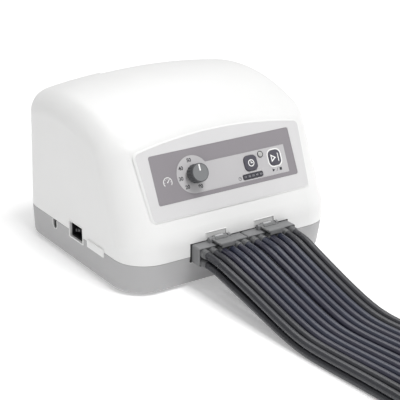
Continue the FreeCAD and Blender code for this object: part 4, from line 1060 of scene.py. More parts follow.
@dataclass
class PanelKey(SubAssembly):
    """One square key in its surround: cap, retaining flange, stem and pictogram."""

    node: str
    body: str
    across: float
    width: float
    mark: KeyMark = KeyMark.CLOCK
    surround_top: float = 0.0011
    surround_finish: Finish = PLATE
    up: float = 0.062
    height: float = 0.0168
    corner: float = 0.005
    face: float = 0.0026
    edge: float = 0.0009
    under: float = -0.0031
    flange: float = 0.0016
    flange_foot: float = -0.0043
    stem_foot: float = -0.0050
    stem_radius: float = 0.0022
    stem_corner_share: float = 0.9
    gap: float = 0.0003
    surround: float = 0.0016
    surround_foot: float = 0.0004
    line: float = 0.0010
    clock_radius: float = 0.0040
    clock_hands: Point2 = (0.0025, 0.0021)
    start_size: Point2 = (0.0066, 0.0088)
    start_hollow: Point2 = (0.0032, 0.0042)
    start_left: float = 0.0022
    hollow_left: float = 0.0006
    bar_right: float = 0.0062
    bar_reach: float = 0.0046

    def build(self) -> list[Piece]:
        """Mould the cap, print its mark and set the surround.

        Returns:
            The pieces.
        """
        cap = keep(self.node + "_cap", lofted(self._cap_loops(), PANEL), KEY, self.body)
        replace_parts(cap, self.node)
        mark = keep(self.node + "_mark", joined(self._mark_shapes()), WHITE_PRINT, self.body)
        inner, outer = (self._square(reach) for reach in (self.gap, self.gap + self.surround))
        ring = framed(outer, inner, self.surround_foot, self.surround_top, PANEL)
        surround = bevelled(keep(self.node + "_surround", ring, self.surround_finish), FINE_EDGE, segments=2)
        return [cap, mark, surround]

    def _square(self, grow: float) -> list[Point2]:
        """The key's outline, grown by a margin."""
        width, height = self.width + 2 * grow, self.height + 2 * grow
        return rectangle(width, height, self.corner + grow, (self.across, self.up))

    def _cap_loops(self) -> list[list[Point]]:
        """The stem, the retaining flange and the cap.

        Returns:
            The loops, from the foot of the stem to the face.
        """
        at = (self.across, self.up)
        stem = 2 * self.stem_radius
        loops = [raised(rectangle(stem, stem, self.stem_radius * self.stem_corner_share, at), level)
                 for level in (self.stem_foot, self.flange_foot)]
        loops += [raised(self._square(self.flange), level) for level in (self.flange_foot, self.under)]
        return loops + pillow(self.width, self.height, self.corner, at, self.under, self.face, self.edge)

    def _mark_shapes(self) -> list[Mesh]:
        """The key's pictogram.

        Returns:
            The shapes of the mark.
        """
        x, y, face = self.across, self.up, self.face
        if self.mark is KeyMark.CLOCK:
            return printed_clock((x, y), self.clock_radius, self.clock_hands, self.line, face)
        x -= self.start_left
        outer = triangle(*self.start_size, (x, y))
        inner = triangle(*self.start_hollow, (x - self.hollow_left, y))
        ends = [(x + self.bar_right, y + reach) for reach in (-self.bar_reach, self.bar_reach)]
        return [framed(outer, inner, face, face + PRINT, PANEL), printed(stroke(ends, self.line), face)]


@dataclass
class PressureKnob(SubAssembly):
    """The fluted pressure knob with its pale face and its white line."""

    at: Point2 = (-0.0415, 0.064)
    hub_foot: float = 0.0018
    hub_radius: float = 0.0078
    hub_lap: float = 0.001
    foot: float = 0.0048
    height: float = 0.0116
    foot_radius: float = 0.0105
    top_radius: float = 0.0102
    flutes: int = 18
    flute_depth: float = 0.0010
    steps: int = 216
    skirt_rings: tuple[tuple[float, float, float, float], ...] = (
        (0.0, 0.0, 0.0, 0.5), (0.0, 0.0, 0.0006, 1.0), (0.5, 0.5, 0.0, 1.0), (0.8, 1.0, -0.0030, 1.0),
        (0.9, 1.0, -0.0016, 0.5), (1.0, 1.0, -0.0010, 0.0), (1.3, 1.0, -0.0003, 0.0), (1.9, 1.0, 0.0, 0.0))
    face_radius: float = 0.0093
    face_depth: float = 0.001
    face_bead: tuple[Point2, ...] = ((0.0, 0.0001), (0.0002, 0.0003), (0.0006, 0.0003), (0.0009, 0.0001))
    face_steps: int = 72
    line_width: float = 0.0017
    line_ends: Point2 = (0.0018, 0.0090)
    line_levels: Point2 = (-0.0008, 0.00035)
    line_corner_share: float = 0.4
    line_edge: float = 0.0001

    def build(self) -> list[Piece]:
        """Mould the skirt, the hub, the face and the line.

        Returns:
            The pieces.
        """
        top, hub_top = self.foot + self.height, self.foot + self.hub_lap
        place = PANEL @ Matrix.Translation((*self.at, 0.0))
        skirt = keep("pressure_knob_skirt", self._skirt(place), KNOB, "knob")
        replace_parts(skirt, "pressure_knob")
        hub_mesh = turned([(0.0, self.hub_foot), (self.hub_radius, self.hub_foot),
                           (self.hub_radius, hub_top), (0.0, hub_top)], place)
        hub = keep("pressure_knob_hub", hub_mesh, KNOB, "knob")
        reach, foot = self.face_radius, top - self.face_depth
        face_mesh = turned([(0.0, foot), (reach, foot),
                            *((reach - inset, top + rise) for inset, rise in self.face_bead), (0.0, top)],
                           place, self.face_steps)
        face = keep("pressure_knob_face", face_mesh, KNOB_FACE, "knob")
        near, far = self.line_ends
        low, high = self.line_levels
        outline = rectangle(self.line_width, far - near, self.line_width * self.line_corner_share,
                            (0.0, (near + far) / 2))
        line = keep("pressure_knob_line", prism(outline, top + low, top + high, place), WHITE_PRINT, "knob")
        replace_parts(bevelled(line, self.line_edge, segments=2), "knob_pointer")
        return [skirt, hub, face, line]

    def _skirt(self, place: Matrix) -> Mesh:
        """The side of the knob, with flutes that run out below the face.

        Each of its rings says how many leans it lies inside the foot's radius, its share of the height, how
        far above that it is, and its share of the flutes' depth.

        Args:
            place: the knob's own frame.

        Returns:
            The closed mesh.
        """
        lean = self.foot_radius - self.top_radius
        loops = []
        for leans, rise, extra, share in self.skirt_rings:
            level = self.foot + rise * self.height + extra
            loop = []
            for i in range(self.steps):
                turn = math.tau * i / self.steps
                groove = (0.5 + 0.5 * math.cos(self.flutes * turn)) ** 2
                reach = self.foot_radius - lean * leans - self.flute_depth * share * groove
                loop.append((*polar((0.0, 0.0), reach, turn), level))
            loops.append(loop)
        return lofted(loops, place)


# ---------------------------------------------------------------------------- trim of the case

@dataclass
class MainsInlet(SubAssembly):
    """The white frame round the mains inlet's window, and three blades in the socket."""

    setback: float = 0.123
    lift: float = 0.002
    size: Point2 = (0.030, 0.0184)
    border: float = 0.0014
    overlap: float = 0.0002
    outer_corner: float = 0.0012
    inner_corner: float = 0.0005
    frame_edge: float = 0.0005
    frame_levels: Point2 = (-0.0028, 0.0006)
    blade_foot: float = -0.019
    blade_places: tuple[Point2, ...] = ((-0.007, -0.001), (0.0, 0.001), (0.007, -0.001))
    blade_length: float = 0.0152
    blade_taper: float = 0.0012
    blade_tip: float = 0.6
    blade_size: Point2 = (0.0022, 0.0044)
    blade_corner: float = 0.0004

    def build(self) -> list[Piece]:
        """Mould the frame and set the blades.

        Returns:
            The pieces.
        """
        at = (-(FRONT + self.setback), SEAM + self.lift)
        width, height = self.size
        outer = rectangle(width + 2 * self.border, height + 2 * self.border, self.outer_corner, at)
        inner = rectangle(width - 2 * self.overlap, height - 2 * self.overlap, self.inner_corner, at)
        rim = keep("inlet_frame", framed(outer, inner, *self.frame_levels, LEFT_SIDE), COVER_AND_HIGHLIGHT)
        blades = [self._blade((at[0] + across, at[1] + up)) for across, up in self.blade_places]
        return [bevelled(rim, self.frame_edge), keep("inlet_blades", joined(blades), NICKEL)]

    def _blade(self, middle: Point2) -> Mesh:
        """One upright blade with a tapered tip.

        Args:
            middle: its middle in the drawing.

        Returns:
            The closed mesh.
        """
        thick, tall = self.blade_size
        loops = []
        for share, reach in ((1.0, 0.0), (1.0, self.blade_length - self.blade_taper),
                             (self.blade_tip, self.blade_length)):
            outline = rectangle(thick * share, tall * share, self.blade_corner * share, middle)
            loops.append(raised(outline, self.blade_foot + reach))
        return lofted(loops, LEFT_SIDE)


@dataclass
class Notch(SubAssembly):
    """The raised rim round the notch under the seam, and a dark block inside it that paints the shade of the
    notch's hollow.
    """

    setback: float = 0.174
    width: float = 0.009
    depth: float = 0.011
    rim: float = 0.0009
    rim_levels: Point2 = (-0.0008, 0.0004)
    stopper_levels: Point2 = (-0.0060, -0.0016)
    seam_gap: float = 0.0004

    def build(self) -> list[Piece]:
        """Mould the rim and the dark block of painted shade.

        Returns:
            The pieces.
        """
        inner, outer = self._outline(0.0), self._outline(self.rim)
        rim = keep("notch_rim", prism(outer + inner[::-1], *self.rim_levels, LEFT_SIDE), COVER_AND_HIGHLIGHT)
        # The dark block paints the shade seen in the notch's hollow.
        shade_block = keep("notch_stopper", prism(inner, *self.stopper_levels, LEFT_SIDE), RUBBER)
        return [bevelled(rim, SOFT_EDGE, segments=2), bevelled(shade_block, SOFT_EDGE, segments=2)]

    def _outline(self, grow: float) -> list[Point2]:
        """The notch's round-footed outline, open at the seam and grown by a margin.

        Args:
            grow: the margin.

        Returns:
            The points, from the left end over the foot to the right end.
        """
        middle, end = -(FRONT + self.setback), SEAM - self.seam_gap
        half = self.width / 2
        reach = half + grow
        foot = arc(reach, 180.0, 360.0, (middle, SEAM - self.depth + half))
        return [(middle - reach, end), *foot, (middle + reach, end)]


@dataclass
class TongueCap(SubAssembly):
    """A bevelled cap over the tongue of the cover, beside the mains inlet."""

    setback: float = 0.0785
    width: float = 0.035
    drop: float = 0.0055
    rise: float = 0.003
    proud: float = 0.0013
    corner: float = 0.0012
    steps: tuple[Point2, ...] = ((0.0005, -0.0015), (0.0005, -0.0005), (0.0001, 0.0001), (-0.0004, 0.0003))

    def build(self) -> list[Piece]:
        """Mould the cap, each of its loops grown and set off from its face by a step.

        Returns:
            The pieces.
        """
        height = self.drop + self.rise
        at = (-(FRONT + self.setback), SEAM + (self.rise - self.drop) / 2)
        loops = [raised(rectangle(self.width + 2 * grow, height + 2 * grow, self.corner, at),
                        self.proud + offset) for grow, offset in self.steps]
        return [keep("tongue_cap", lofted(loops, LEFT_SIDE), COVER_AND_HIGHLIGHT)]


@dataclass
class OutletTrim(SubAssembly):
    """The fine lines over the latches, a white line under the outlets that paints a highlight on the grey
    base, and a black frame round the plugs that paints the shadow of the gap in the opening.
    """

    pocket_size: Point2 = (0.0255, 0.0086)
    pocket_lean: float = 4.5
    pocket_foot: float = 0.0006
    pocket_lip: float = 0.0008
    pocket_levels: Point2 = (-0.0004, 0.0004)
    ridge_width: float = 0.1276
    ridge: float = 0.0009
    ridge_lean: float = 12.7
    ridge_end: float = 0.0006
    ridge_levels: Point2 = (-0.0006, 0.0005)
    shadow_border: float = 0.0009
    seal_left: float = 0.0018
    shadow_levels: Point2 = (-0.0045, 0.0004)

    def build(self) -> list[Piece]:
        """Mould the lines and the black frame of painted shadow."""
        return [*(self._pocket_line(side) for side in Side), self._ridge(), self._gap_shadow()]

    def _pocket_line(self, side: Side) -> Piece:
        """A fine raised line over one latch.

        Args:
            side: which latch.

        Returns:
            The line.
        """
        (width, height), lip, low = self.pocket_size, self.pocket_lip, self.pocket_foot
        band_foot = Matrix.Translation((0.0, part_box("outlet_socket_left")[1].z, 0.0))
        place = FACE @ band_foot @ Matrix.Rotation(-math.radians(self.pocket_lean), 4, "X")
        middle = OUTLETS.middle(side)
        left, right = middle - width / 2, middle + width / 2
        outline = [(right + lip, low), (right + lip, height + lip), (left - lip, height + lip),
                   (left - lip, low), (left, low), (left, height), (right, height), (right, low)]
        line = keep(f"pocket_lip_{side.label}", prism(outline, *self.pocket_levels, place), COVER_AND_HIGHLIGHT)
        return bevelled(line, FINE_EDGE, segments=2)

    def _ridge(self) -> Piece:
        """A fine ridge under the opening of the outlets, on the leaning front of the base, in the white of
        the cover: a painted highlight on the grey base.

        Returns:
            The ridge.
        """
        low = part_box("outlet_socket_left")[0].z - FIT_GAP
        lean = math.radians(self.ridge_lean)
        place = (Matrix.Translation((0.0, FRONT + (SEAM - low) * math.tan(lean), low))
                 @ Matrix.Rotation(math.pi / 2 + lean, 4, "X"))
        left, right = OUTLETS.centre - self.ridge_width / 2, OUTLETS.centre + self.ridge_width / 2
        rise, width = SEAM - low - self.ridge_end, self.ridge
        outline = [(left - width, -width), (right + width, -width), (right + width, rise), (right, rise),
                   (right, 0.0), (left, 0.0), (left, rise), (left - width, rise)]
        # The cover's white on the grey base paints a highlight along this ridge.
        ridge = keep("outlet_lip", prism(outline, *self.ridge_levels, place), COVER_AND_HIGHLIGHT)
        return bevelled(ridge, SOFT_EDGE, segments=2)

    def _gap_shadow(self) -> Piece:
        """A flat black frame between the plugs and the opening of the outlets, painted shadow of the gap
        there.

        Returns:
            The frame.
        """
        low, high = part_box("outlet_socket_left")[0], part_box("outlet_socket_right")[1]
        left, right, top = low.x - self.seal_left, high.x + self.shadow_border, high.z + self.shadow_border
        gap = FIT_GAP / 2
        plugs_left, plugs_right, plugs_top = low.x - gap, high.x + gap, high.z + gap
        outline = [(left, low.z), (plugs_left, low.z), (plugs_left, plugs_top), (plugs_right, plugs_top),
                   (plugs_right, low.z), (right, low.z), (right, top), (left, top)]
        # The black rubber colour here paints the shadow in the gap between the plugs and the opening.
        gap_shadow = keep("outlet_gasket", prism(outline, *self.shadow_levels, FACE), RUBBER)
        return bevelled(gap_shadow, FINE_EDGE, segments=2)


@dataclass
class Feet(SubAssembly):
    """Four rubber feet with a rounded, hollowed tread."""

    radius: float = 0.009
    edge: float = 0.0009
    hollow: float = 0.0005
    hollow_share: float = 0.5
    tread_share: float = 0.6
    edge_share: float = 0.3

    def build(self) -> list[Piece]:
        """Turn the four feet.

        Returns:
            The pieces.
        """
        low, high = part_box("rubber_feet")
        radius, edge, chamfer = self.radius, self.edge, self.edge * self.edge_share
        profile = [(0.0, self.hollow), (radius * self.hollow_share, self.hollow),
                   (radius * self.tread_share, 0.0), (radius - edge, 0.0), (radius - chamfer, chamfer),
                   (radius, edge), (radius, high.z), (0.0, high.z)]
        treads = [turned(profile, Matrix.Translation((x, y, low.z)))
                  for x in (low.x + radius, high.x - radius) for y in (low.y + radius, high.y - radius)]
        feet = keep("rubber_feet_treads", joined(treads), RUBBER)
        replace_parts(feet, "rubber_feet")
        return [feet]


# ---------------------------------------------------------------------------- hoses

@dataclass(frozen=True)
class Stop:
    """One stop of the hoses' route: how far before the front, how high each row, and where across."""

    reach: float
    lower: float
    upper: float
    drift: float = 0.0
    drawn_in: float = 0.0


# The heights of the two rows where the hoses lie on the floor.
ON_FLOOR = (0.00425, 0.01305)


@dataclass
class HoseRun:
    """The twelve hoses of one plug, from their collars to the garment connector in the roll."""

    side: Side
    diameter: float = 0.0085
    length: float = 1.27
    collar_tip: float = 0.022
    layer: float = 0.0088
    roll_reach: float = 0.4255
    roll_outside: float = 0.096
    roll_drift: float = 0.012
    tail_radius: float = 0.0384
    tail_start: float = 651.0
    tail_run: float = 0.004
    step: float = 20.0
    gathered: float = 0.095
    route: tuple[Stop, ...] = (
        Stop(0.0405, 0.0345, 0.0462, drawn_in=0.10),
        Stop(0.0655, 0.0292, 0.0412, drawn_in=0.42),
        Stop(0.0955, 0.0230, 0.0348, 0.0002, 0.72),
        Stop(0.1255, 0.0162, 0.0272, 0.0006, 0.90),
        Stop(0.1555, 0.0095, 0.0194, 0.0014, 1.0),
        Stop(0.1805, 0.0052, 0.0144, 0.0024, 1.0),
        Stop(0.2055, *ON_FLOOR, 0.0038, 0.90),
        Stop(0.2475, *ON_FLOOR, 0.0072, 0.55),
        Stop(0.2895, *ON_FLOOR, 0.0104, 0.20),
        Stop(0.3295, *ON_FLOOR, 0.0120, 0.03),
        Stop(0.3655, *ON_FLOOR, 0.0120),
        Stop(0.4005, *ON_FLOOR, 0.0120),
    )
    stray_aside: tuple[float, ...] = (0.0003, -0.0003, 0.0004, -0.0002, 0.0003, -0.0004)
    stray_up: tuple[float, ...] = (0.0002, 0.0006, 0.0, 0.0005, 0.0001, 0.0004)
    stray_ends: Point2 = (0.0405, 0.2055)
    grey_hoses: int = 2
    runs_per_point: int = 6
    rounding: int = 4

    def build(self, fittings: Sequence[Piece]) -> list[Piece]:
        """Lay every hose.

        Args:
            fittings: the pieces on the hoses; their names are gathered but not used.

        Returns:
            The hoses.
        """
        carried = [fitting.name for fitting in fittings] + [f"hose_plug_{self.side.label}"]
        return [self._hose(row, column) for row in Row for column in range(OUTLETS.ways)]

    def start(self, row: Row, column: int) -> Vector:
        """Where a hose leaves its collar."""
        return Vector((OUTLETS.middle(self.side) + OUTLETS.way(column), FRONT - self.collar_tip,
                       OUTLETS.level(row)))

    def _points(self, row: Row, column: int) -> list[Vector]:
        """The control points of one hose: route, winding and last bend.

        Args:
            row: the hose's row.
            column: its place in the row, from the left.

        Returns:
            The points, from the collar to the garment connector.
        """
        made = [self.start(row, column)]
        x = made[0].x
        across = x - (OUTLETS.middle(Side.LEFT) + OUTLETS.way(0))
        begin, end = self.stray_ends
        for stop in self.route:
            share = math.sin(math.pi * (stop.reach - begin) / (end - begin)) if stop.reach < end else 0.0
            aside = self.stray_aside[column] * share - self.gathered * stop.drawn_in * across
            up = self.stray_up[column] * share if row is Row.UPPER else 0.0
            height = stop.lower if row is Row.LOWER else stop.upper
            made.append(Vector((x + stop.drift + aside, FRONT - stop.reach, height + up)))
        return made + self._winding(x + self.roll_drift, row)

    def _winding(self, x: float, row: Row) -> list[Vector]:
        """The turns of one hose in the roll, and its last bend into the connector.

        Args:
            x: where the hose lies across the roll.
            row: the hose's row: the lower one winds outside.

        Returns:
            The control points, which stand a little outside the turns that they make.
        """
        made = []
        spread = 1 / math.cos(math.radians(self.step / 2))
        centre = Vector((x, FRONT - self.roll_reach, self.roll_outside))
        outward = -row.value * self.layer / 2
        turn = self.step / 2
        while turn < self.tail_start:
            made.append(centre + self._around(turn, (self._mean_radius(turn) + outward) * spread))
            turn += self.step
        hub = centre + self._around(self.tail_start, self._mean_radius(self.tail_start) - self.tail_radius)
        heading = math.ceil(self.tail_start / 360) * 360.0
        while turn < heading:
            made.append(hub + self._around(turn, (self.tail_radius + outward) * spread))
            turn += self.step
        end = hub + self._around(heading, self.tail_radius + outward)
        return [*made, end + Vector((0.0, -self.tail_run, 0.0))]

    def _mean_radius(self, turn: float) -> float:
        """The radius of the middle of the two layers, after a turn in degrees."""
        return self.roll_outside - self.layer - 2 * self.layer * turn / 360

    def _around(self, turn: float, radius: float) -> Vector:
        """The way from the roll's middle, after a turn in degrees from its foot."""
        angle = math.radians(turn)
        return Vector((0.0, -radius * math.sin(angle), -radius * math.cos(angle)))

    def _finish(self, column: int) -> Finish:
        """The hue of a hose: grey towards the outer side, and two blues in turn."""
        from_outside = column if self.side is Side.LEFT else OUTLETS.ways - 1 - column
        return HOSE_GREY if from_outside < self.grey_hoses else (HOSE, HOSE_BLUE)[column % 2]

    def _hose(self, row: Row, column: int) -> Piece:
        """One hose as a smooth round curve.

        Args:
            row: its row.
            column: its place in the row, from the left.

        Returns:
            The hose.
        """
        side = self.side.label
        node = f"hose_{side}_{row.label}_{column + 1}"
        places = self._points(row, column)
        curve = bpy.data.curves.new(node + "_line", "CURVE")
        curve.dimensions = "3D"
        spline = curve.splines.new("NURBS")
        spline.points.add(len(places) - 1)
        for point, place in zip(spline.points, places):
            point.co = (*place, 1.0)
        spline.order_u = 3
        spline.use_endpoint_u = True
        spline.resolution_u = self.runs_per_point
        curve.bevel_depth = self.diameter / 2
        curve.bevel_resolution = self.rounding
        curve.use_fill_caps = True
        curve.materials.append(self._finish(column).material())
        piece = placed(node + "_vinyl", curve)
        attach(piece, "case")
        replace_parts(piece, node, f"hose_roll_{side}")
        return piece


# ---------------------------------------------------------------------------- plugs and latches

@dataclass
class PlugFront(SubAssembly):
    """A dark plate on the front of one hose plug, which paints the shade on that front, and the ribbed
    collars that stand on it.
    """

    run: HoseRun
    collar_length: float = 0.007
    collar_steps: int = 32
    face_margin: float = 0.0004
    face_corner: float = 0.0008
    face_sunk: float = 0.0002
    face_proud: float = 0.0003
    profile: tuple[Point2, ...] = (
        (0.0, -0.0003), (0.0049, -0.0003), (0.0049, 0.0006), (0.00505, 0.0009), (0.00505, 0.0018),
        (0.0049, 0.0021), (0.00482, 0.0024), (0.00482, 0.0040), (0.0049, 0.0043), (0.00508, 0.0047),
        (0.00508, 0.0058), (0.0049, 0.0066), (0.0046, 0.0076), (0.00432, 0.0082), (0.0, 0.0082))

    def build(self) -> list[Piece]:
        """Mould the dark plate of painted shade and turn twelve collars.

        Returns:
            The pieces.
        """
        side = self.run.side.label
        low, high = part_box(f"outlet_socket_{side}")
        reach = self.run.collar_tip - self.collar_length
        margin = 2 * self.face_margin
        outline = rectangle(high.x - low.x - margin, high.z - low.z - margin, self.face_corner,
                            ((low.x + high.x) / 2, (low.z + high.z) / 2))
        # The plate's dark colour paints the shade on the plug's front.
        face_mesh = prism(outline, reach - self.face_sunk, reach + self.face_proud, FACE)
        face = keep(f"plug_face_{side}", face_mesh, PLUG_FRONT_SHADE)
        collars = []
        for row in Row:
            for column in range(OUTLETS.ways):
                foot = self.run.start(row, column) + Vector((0.0, self.collar_length, 0.0))
                place = Matrix.Translation(foot) @ Matrix.Rotation(math.pi / 2, 4, "X")
                collars.append(turned(self.profile, place, self.collar_steps))
        return [bevelled(face, FINE_EDGE, segments=2),
                keep(f"plug_collars_{side}", joined(collars), COLLAR)]


class LatchPart(ABC):
    """One moulded piece of a latch, with its finish and the rounding of its edges."""

    finish: Finish
    edge: float

    @abstractmethod
    def mesh(self, place: Matrix) -> Mesh:
        """The closed mesh in the latch's frame."""


@dataclass(frozen=True)
class Slab(LatchPart):
    """A flat piece across a latch, between two reaches before its pin and two heights above it."""

    width: float
    near: float
    far: float
    low: float
    high: float
    edge: float = FULL_EDGE
    finish: Finish = LATCH
    most_corner: float = 0.0015
    corner_share: float = 0.3
    corner_steps: int = 4

    def mesh(self, place: Matrix) -> Mesh:
        """The slab in the latch's frame.

        Args:
            place: the latch's frame.

        Returns:
            The closed mesh.
        """
        deep = self.far - self.near
        outline = rectangle(self.width, deep, min(self.most_corner, deep * self.corner_share),
                            (0.0, (self.near + self.far) / 2), self.corner_steps)
        return prism(outline, self.low, self.high, place)


@dataclass(frozen=True)
class Bar(LatchPart):
    """A round bar across a latch, at the height of its pin, with chamfered ends."""

    width: float
    radius: float
    reach: float = 0.0
    edge: float = 0.0
    finish: Finish = LATCH
    chamfer: float = 0.0005
    steps: int = 28

    def mesh(self, place: Matrix) -> Mesh:
        """The bar in the latch's frame.

        Args:
            place: the latch's frame.

        Returns:
            The closed mesh.
        """
        across = (place @ Matrix.Translation((-self.width / 2, self.reach, 0.0))
                  @ Matrix.Rotation(math.pi / 2, 4, "Y"))
        waist = self.radius - self.chamfer
        return turned([(0.0, 0.0), (waist, 0.0), (self.radius, self.chamfer),
                       (self.radius, self.width - self.chamfer), (waist, self.width), (0.0, self.width)],
                      across, self.steps)


@dataclass
class Latch(SubAssembly):
    """One latch lever on its pin: plate, apron, cross rib, hub, arms, shoulder, pale pad and rolled lip."""

    side: Side
    pivot_reach: float = 0.0055
    pivot_rise: float = 0.0557
    plate: Slab = Slab(0.0205, -0.0047, 0.0179, -0.0012, 0.0009)
    apron: Slab = Slab(0.0165, 0.0160, 0.0185, -0.0042, -0.0002)
    rib: Slab = Slab(0.0160, 0.0046, 0.0060, 0.0, 0.0019)
    hub: Bar = Bar(0.0130, 0.0026)
    arms: Bar = Bar(0.0205, 0.0020)
    shoulder: Slab = Slab(0.0130, -0.0047, 0.0036, 0.0, 0.0017)
    pad: Slab = Slab(0.0100, -0.0017, 0.0014, 0.0020, 0.00285, SOFT_EDGE, LATCH_PAD)
    lip: Bar = Bar(0.0205, 0.0016, reach=0.0169)

    def build(self) -> list[Piece]:
        """Mould the lever, every piece on the lever's body.

        Returns:
            The pieces.
        """
        pivot = (OUTLETS.middle(self.side), FRONT - self.pivot_reach, self.pivot_rise)
        place = Matrix.Translation(pivot) @ Matrix.Rotation(math.pi, 4, "Z")
        side = self.side.label
        parts = {"plate": self.plate, "apron": self.apron, "rib": self.rib, "hub": self.hub,
                 "arms": self.arms, "shoulder": self.shoulder, "pad": self.pad, "lip": self.lip}
        pieces = []
        for name, part in parts.items():
            piece = keep(f"latch_{side}_{name}", part.mesh(place), part.finish, f"{side}_lever")
            pieces.append(bevelled(piece, part.edge) if part.edge else piece)
        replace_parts(pieces[0], f"latch_{side}")
        return pieces


# ---------------------------------------------------------------------------- far end of the hoses

@dataclass
class GarmentConnector(SubAssembly):
    """The garment connector of one bundle: body, collars on the hose ends, barbed nozzles, thumb pad."""

    run: HoseRun
    collar: float = 0.007
    nozzle: float = 0.008
    nozzle_radius: float = 0.0036
    nozzle_lap: float = 0.001
    barb: float = 0.0004
    barb_ends: Point2 = (0.0040, 0.0035)
    mouth: float = 0.0002
    mouth_radii: Point2 = (0.0030, 0.0020)
    bore_radius: float = 0.0018
    steps: int = 28
    corner: float = 0.0035
    body_profile: tuple[Point2, ...] = (
        (0.0, 0.0012), (0.05, 0.0), (0.30, 0.0), (0.38, 0.0012), (0.62, 0.0012), (0.70, 0.0), (0.95, 0.0),
        (1.0, 0.0012))
    thumb_size: Point2 = (0.022, 0.010)
    thumb_corner: float = 0.003
    thumb_levels: Point2 = (-0.001, 0.0012)
    thumb_edge: float = 0.0008
    collar_profile: tuple[Point2, ...] = (
        (0.0, -0.0070), (0.00435, -0.0070), (0.0047, -0.0066), (0.0049, -0.0060), (0.0049, -0.0048),
        (0.0046, -0.0042), (0.0046, -0.0012), (0.0049, -0.0008), (0.0049, 0.0004), (0.0, 0.0004))

    def build(self) -> list[Piece]:
        """Mould the body, its fittings and its thumb pad.

        Returns:
            The pieces.
        """
        side = self.run.side.label
        low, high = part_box(f"garment_connector_{side}")
        middle, size = (low + high) / 2, high - low
        place = (Matrix.Translation((middle.x, high.y - self.collar, middle.z))
                 @ Matrix.Rotation(math.pi / 2, 4, "X"))
        length = size.y - self.collar - self.nozzle
        body = keep(f"garment_connector_body_{side}", self._body(place, size.x, size.z, length), CONNECTOR)
        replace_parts(body, f"garment_connector_{side}")
        foot, top = (high.z + level for level in self.thumb_levels)
        loops = pillow(*self.thumb_size, self.thumb_corner, (middle.x, middle.y), foot, top, self.thumb_edge)
        thumb = keep(f"garment_thumb_{side}", lofted(loops), CONNECTOR)
        return [body, thumb, *self._fittings(place, length)]

    def _body(self, place: Matrix, width: float, height: float, length: float) -> Mesh:
        """A body with a shallow waist, where fingers hold it: at each share of its length it has an inset.

        Args:
            place: the connector's frame, along the hoses.
            width: its width.
            height: its height.
            length: its length between collars and nozzles.

        Returns:
            The closed mesh.
        """
        loops = []
        for share, inset in self.body_profile:
            outline = rectangle(width - 2 * inset, height - 2 * inset, self.corner)
            loops.append(raised(outline, share * length))
        return lofted(loops, place)

    def _fittings(self, place: Matrix, length: float) -> list[Piece]:
        """Twelve collars over the hose ends and twelve barbed nozzles.

        Args:
            place: the connector's frame, along the hoses.
            length: where the nozzles start.

        Returns:
            The collars and the nozzles, as two pieces.
        """
        radius, tip = self.nozzle_radius, length + self.nozzle
        barb_foot, barb_top = (tip - drop for drop in self.barb_ends)
        foot, bore = length - self.nozzle_lap, length + self.nozzle_lap
        profile = [(0.0, foot), (radius, foot), (radius, barb_foot), (radius + self.barb, barb_top),
                   *((mouth, tip - self.mouth) for mouth in self.mouth_radii), (self.bore_radius, bore),
                   (0.0, bore)]
        collars, nozzles = [], []
        for row in Row:
            for column in range(OUTLETS.ways):
                spot = place @ Matrix.Translation((OUTLETS.way(column), row.value * self.run.layer / 2, 0.0))
                collars.append(turned(self.collar_profile, spot, self.steps))
                nozzles.append(turned(profile, spot, self.steps))
        side = self.run.side.label
        return [keep(f"garment_collars_{side}", joined(collars), COLLAR),
                keep(f"garment_nozzles_{side}", joined(nozzles), CONNECTOR)]


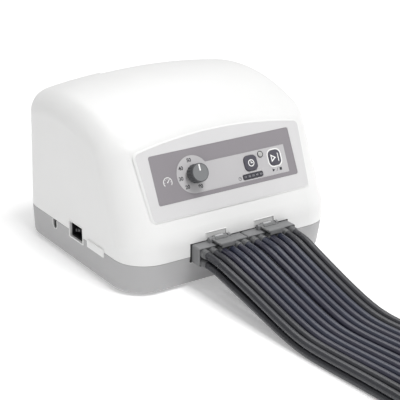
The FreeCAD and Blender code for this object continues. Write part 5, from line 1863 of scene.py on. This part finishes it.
@dataclass
class RollStrap(SubAssembly):
    """A woven strap round the roll of one bundle, its end lapped over itself."""

    run: HoseRun
    size: Point2 = (0.0622, 0.0424)
    thickness: float = 0.0011
    corner: float = 0.0050
    end_left: float = 0.012
    end_down: float = 0.004
    end_inset: float = 0.0004

    def build(self) -> list[Piece]:
        """Close the strap and lap its end.

        Returns:
            The pieces.
        """
        low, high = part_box("hose_ties")
        deep = high.y - low.y
        side, (width, height) = self.run.side, self.size
        thick, corner = self.thickness, self.corner
        x = OUTLETS.middle(side) + self.run.roll_drift
        y = (low.z + high.z) / 2
        place = Matrix.Translation((0.0, high.y, 0.0)) @ Matrix.Rotation(math.pi / 2, 4, "X")
        outer = rectangle(width, height, corner, (x, y))
        inner = rectangle(width - 2 * thick, height - 2 * thick, corner - thick, (x, y))
        strap = keep(f"hose_tie_{side.label}", framed(outer, inner, 0.0, deep, place), STRAP)
        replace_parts(bevelled(strap, SOFT_EDGE, segments=2), "hose_ties")
        reach = corner + thick / 2
        hub = (x + width / 2 - corner, y + height / 2 - corner)
        path = [(x - self.end_left, hub[1] + reach), *arc(reach, 90.0, 0.0, hub),
                (hub[0] + reach, y - self.end_down)]
        lap = prism(stroke(path, thick), self.end_inset, deep - self.end_inset, place)
        return [strap, bevelled(keep(f"hose_tie_end_{side.label}", lap, STRAP), SOFT_EDGE, segments=2)]


@dataclass
class HoseBundle(SubAssembly):
    """One plug with its latch, its twelve hoses, their garment connector and the strap round their roll."""

    side: Side

    def build(self) -> list[Piece]:
        """Build the fittings, then the hoses.

        Returns:
            The pieces.
        """
        run = HoseRun(self.side)
        parts = (PlugFront(run), Latch(self.side), GarmentConnector(run), RollStrap(run))
        fittings = [piece for part in parts for piece in part.build()]
        return fittings + run.build(fittings)


# ---------------------------------------------------------------------------- the whole

def dress_nodes() -> None:
    """Give every CAD node the material of its slot, smoothly shaded."""
    for part in frame["record"]["subparts"]:
        mesh = frame["nodes"][part["node"]].data
        mesh.materials.clear()
        mesh.materials.append(SLOT_FINISHES[part["material_slot"]].material())
        smooth(mesh)


def main() -> None:
    """Build the studio and the pump, and report each piece."""
    Studio().build()
    dress_nodes()
    LOG.info("CAD nodes dressed")
    assemblies: list[SubAssembly] = [
        PanelPrint(), TimerLamp(), TimeScale(), PanelRim(), PressureKnob(),
        PanelKey("time_button", "time_key", across=0.0326, width=0.0169),
        PanelKey("start_button", "start_key", across=0.065, width=0.0153, mark=KeyMark.START,
                 surround_top=0.0014, surround_finish=WHITE_PRINT),
        MainsInlet(), Notch(), TongueCap(), OutletTrim(), Feet(), *(HoseBundle(side) for side in Side)]
    for assembly in assemblies:
        for piece in assembly.build():
            LOG.info("%s: %s", type(assembly).__name__, piece.name)


if __name__ == "__main__":
    logging.basicConfig(level=logging.INFO, format="%(message)s")
    main()
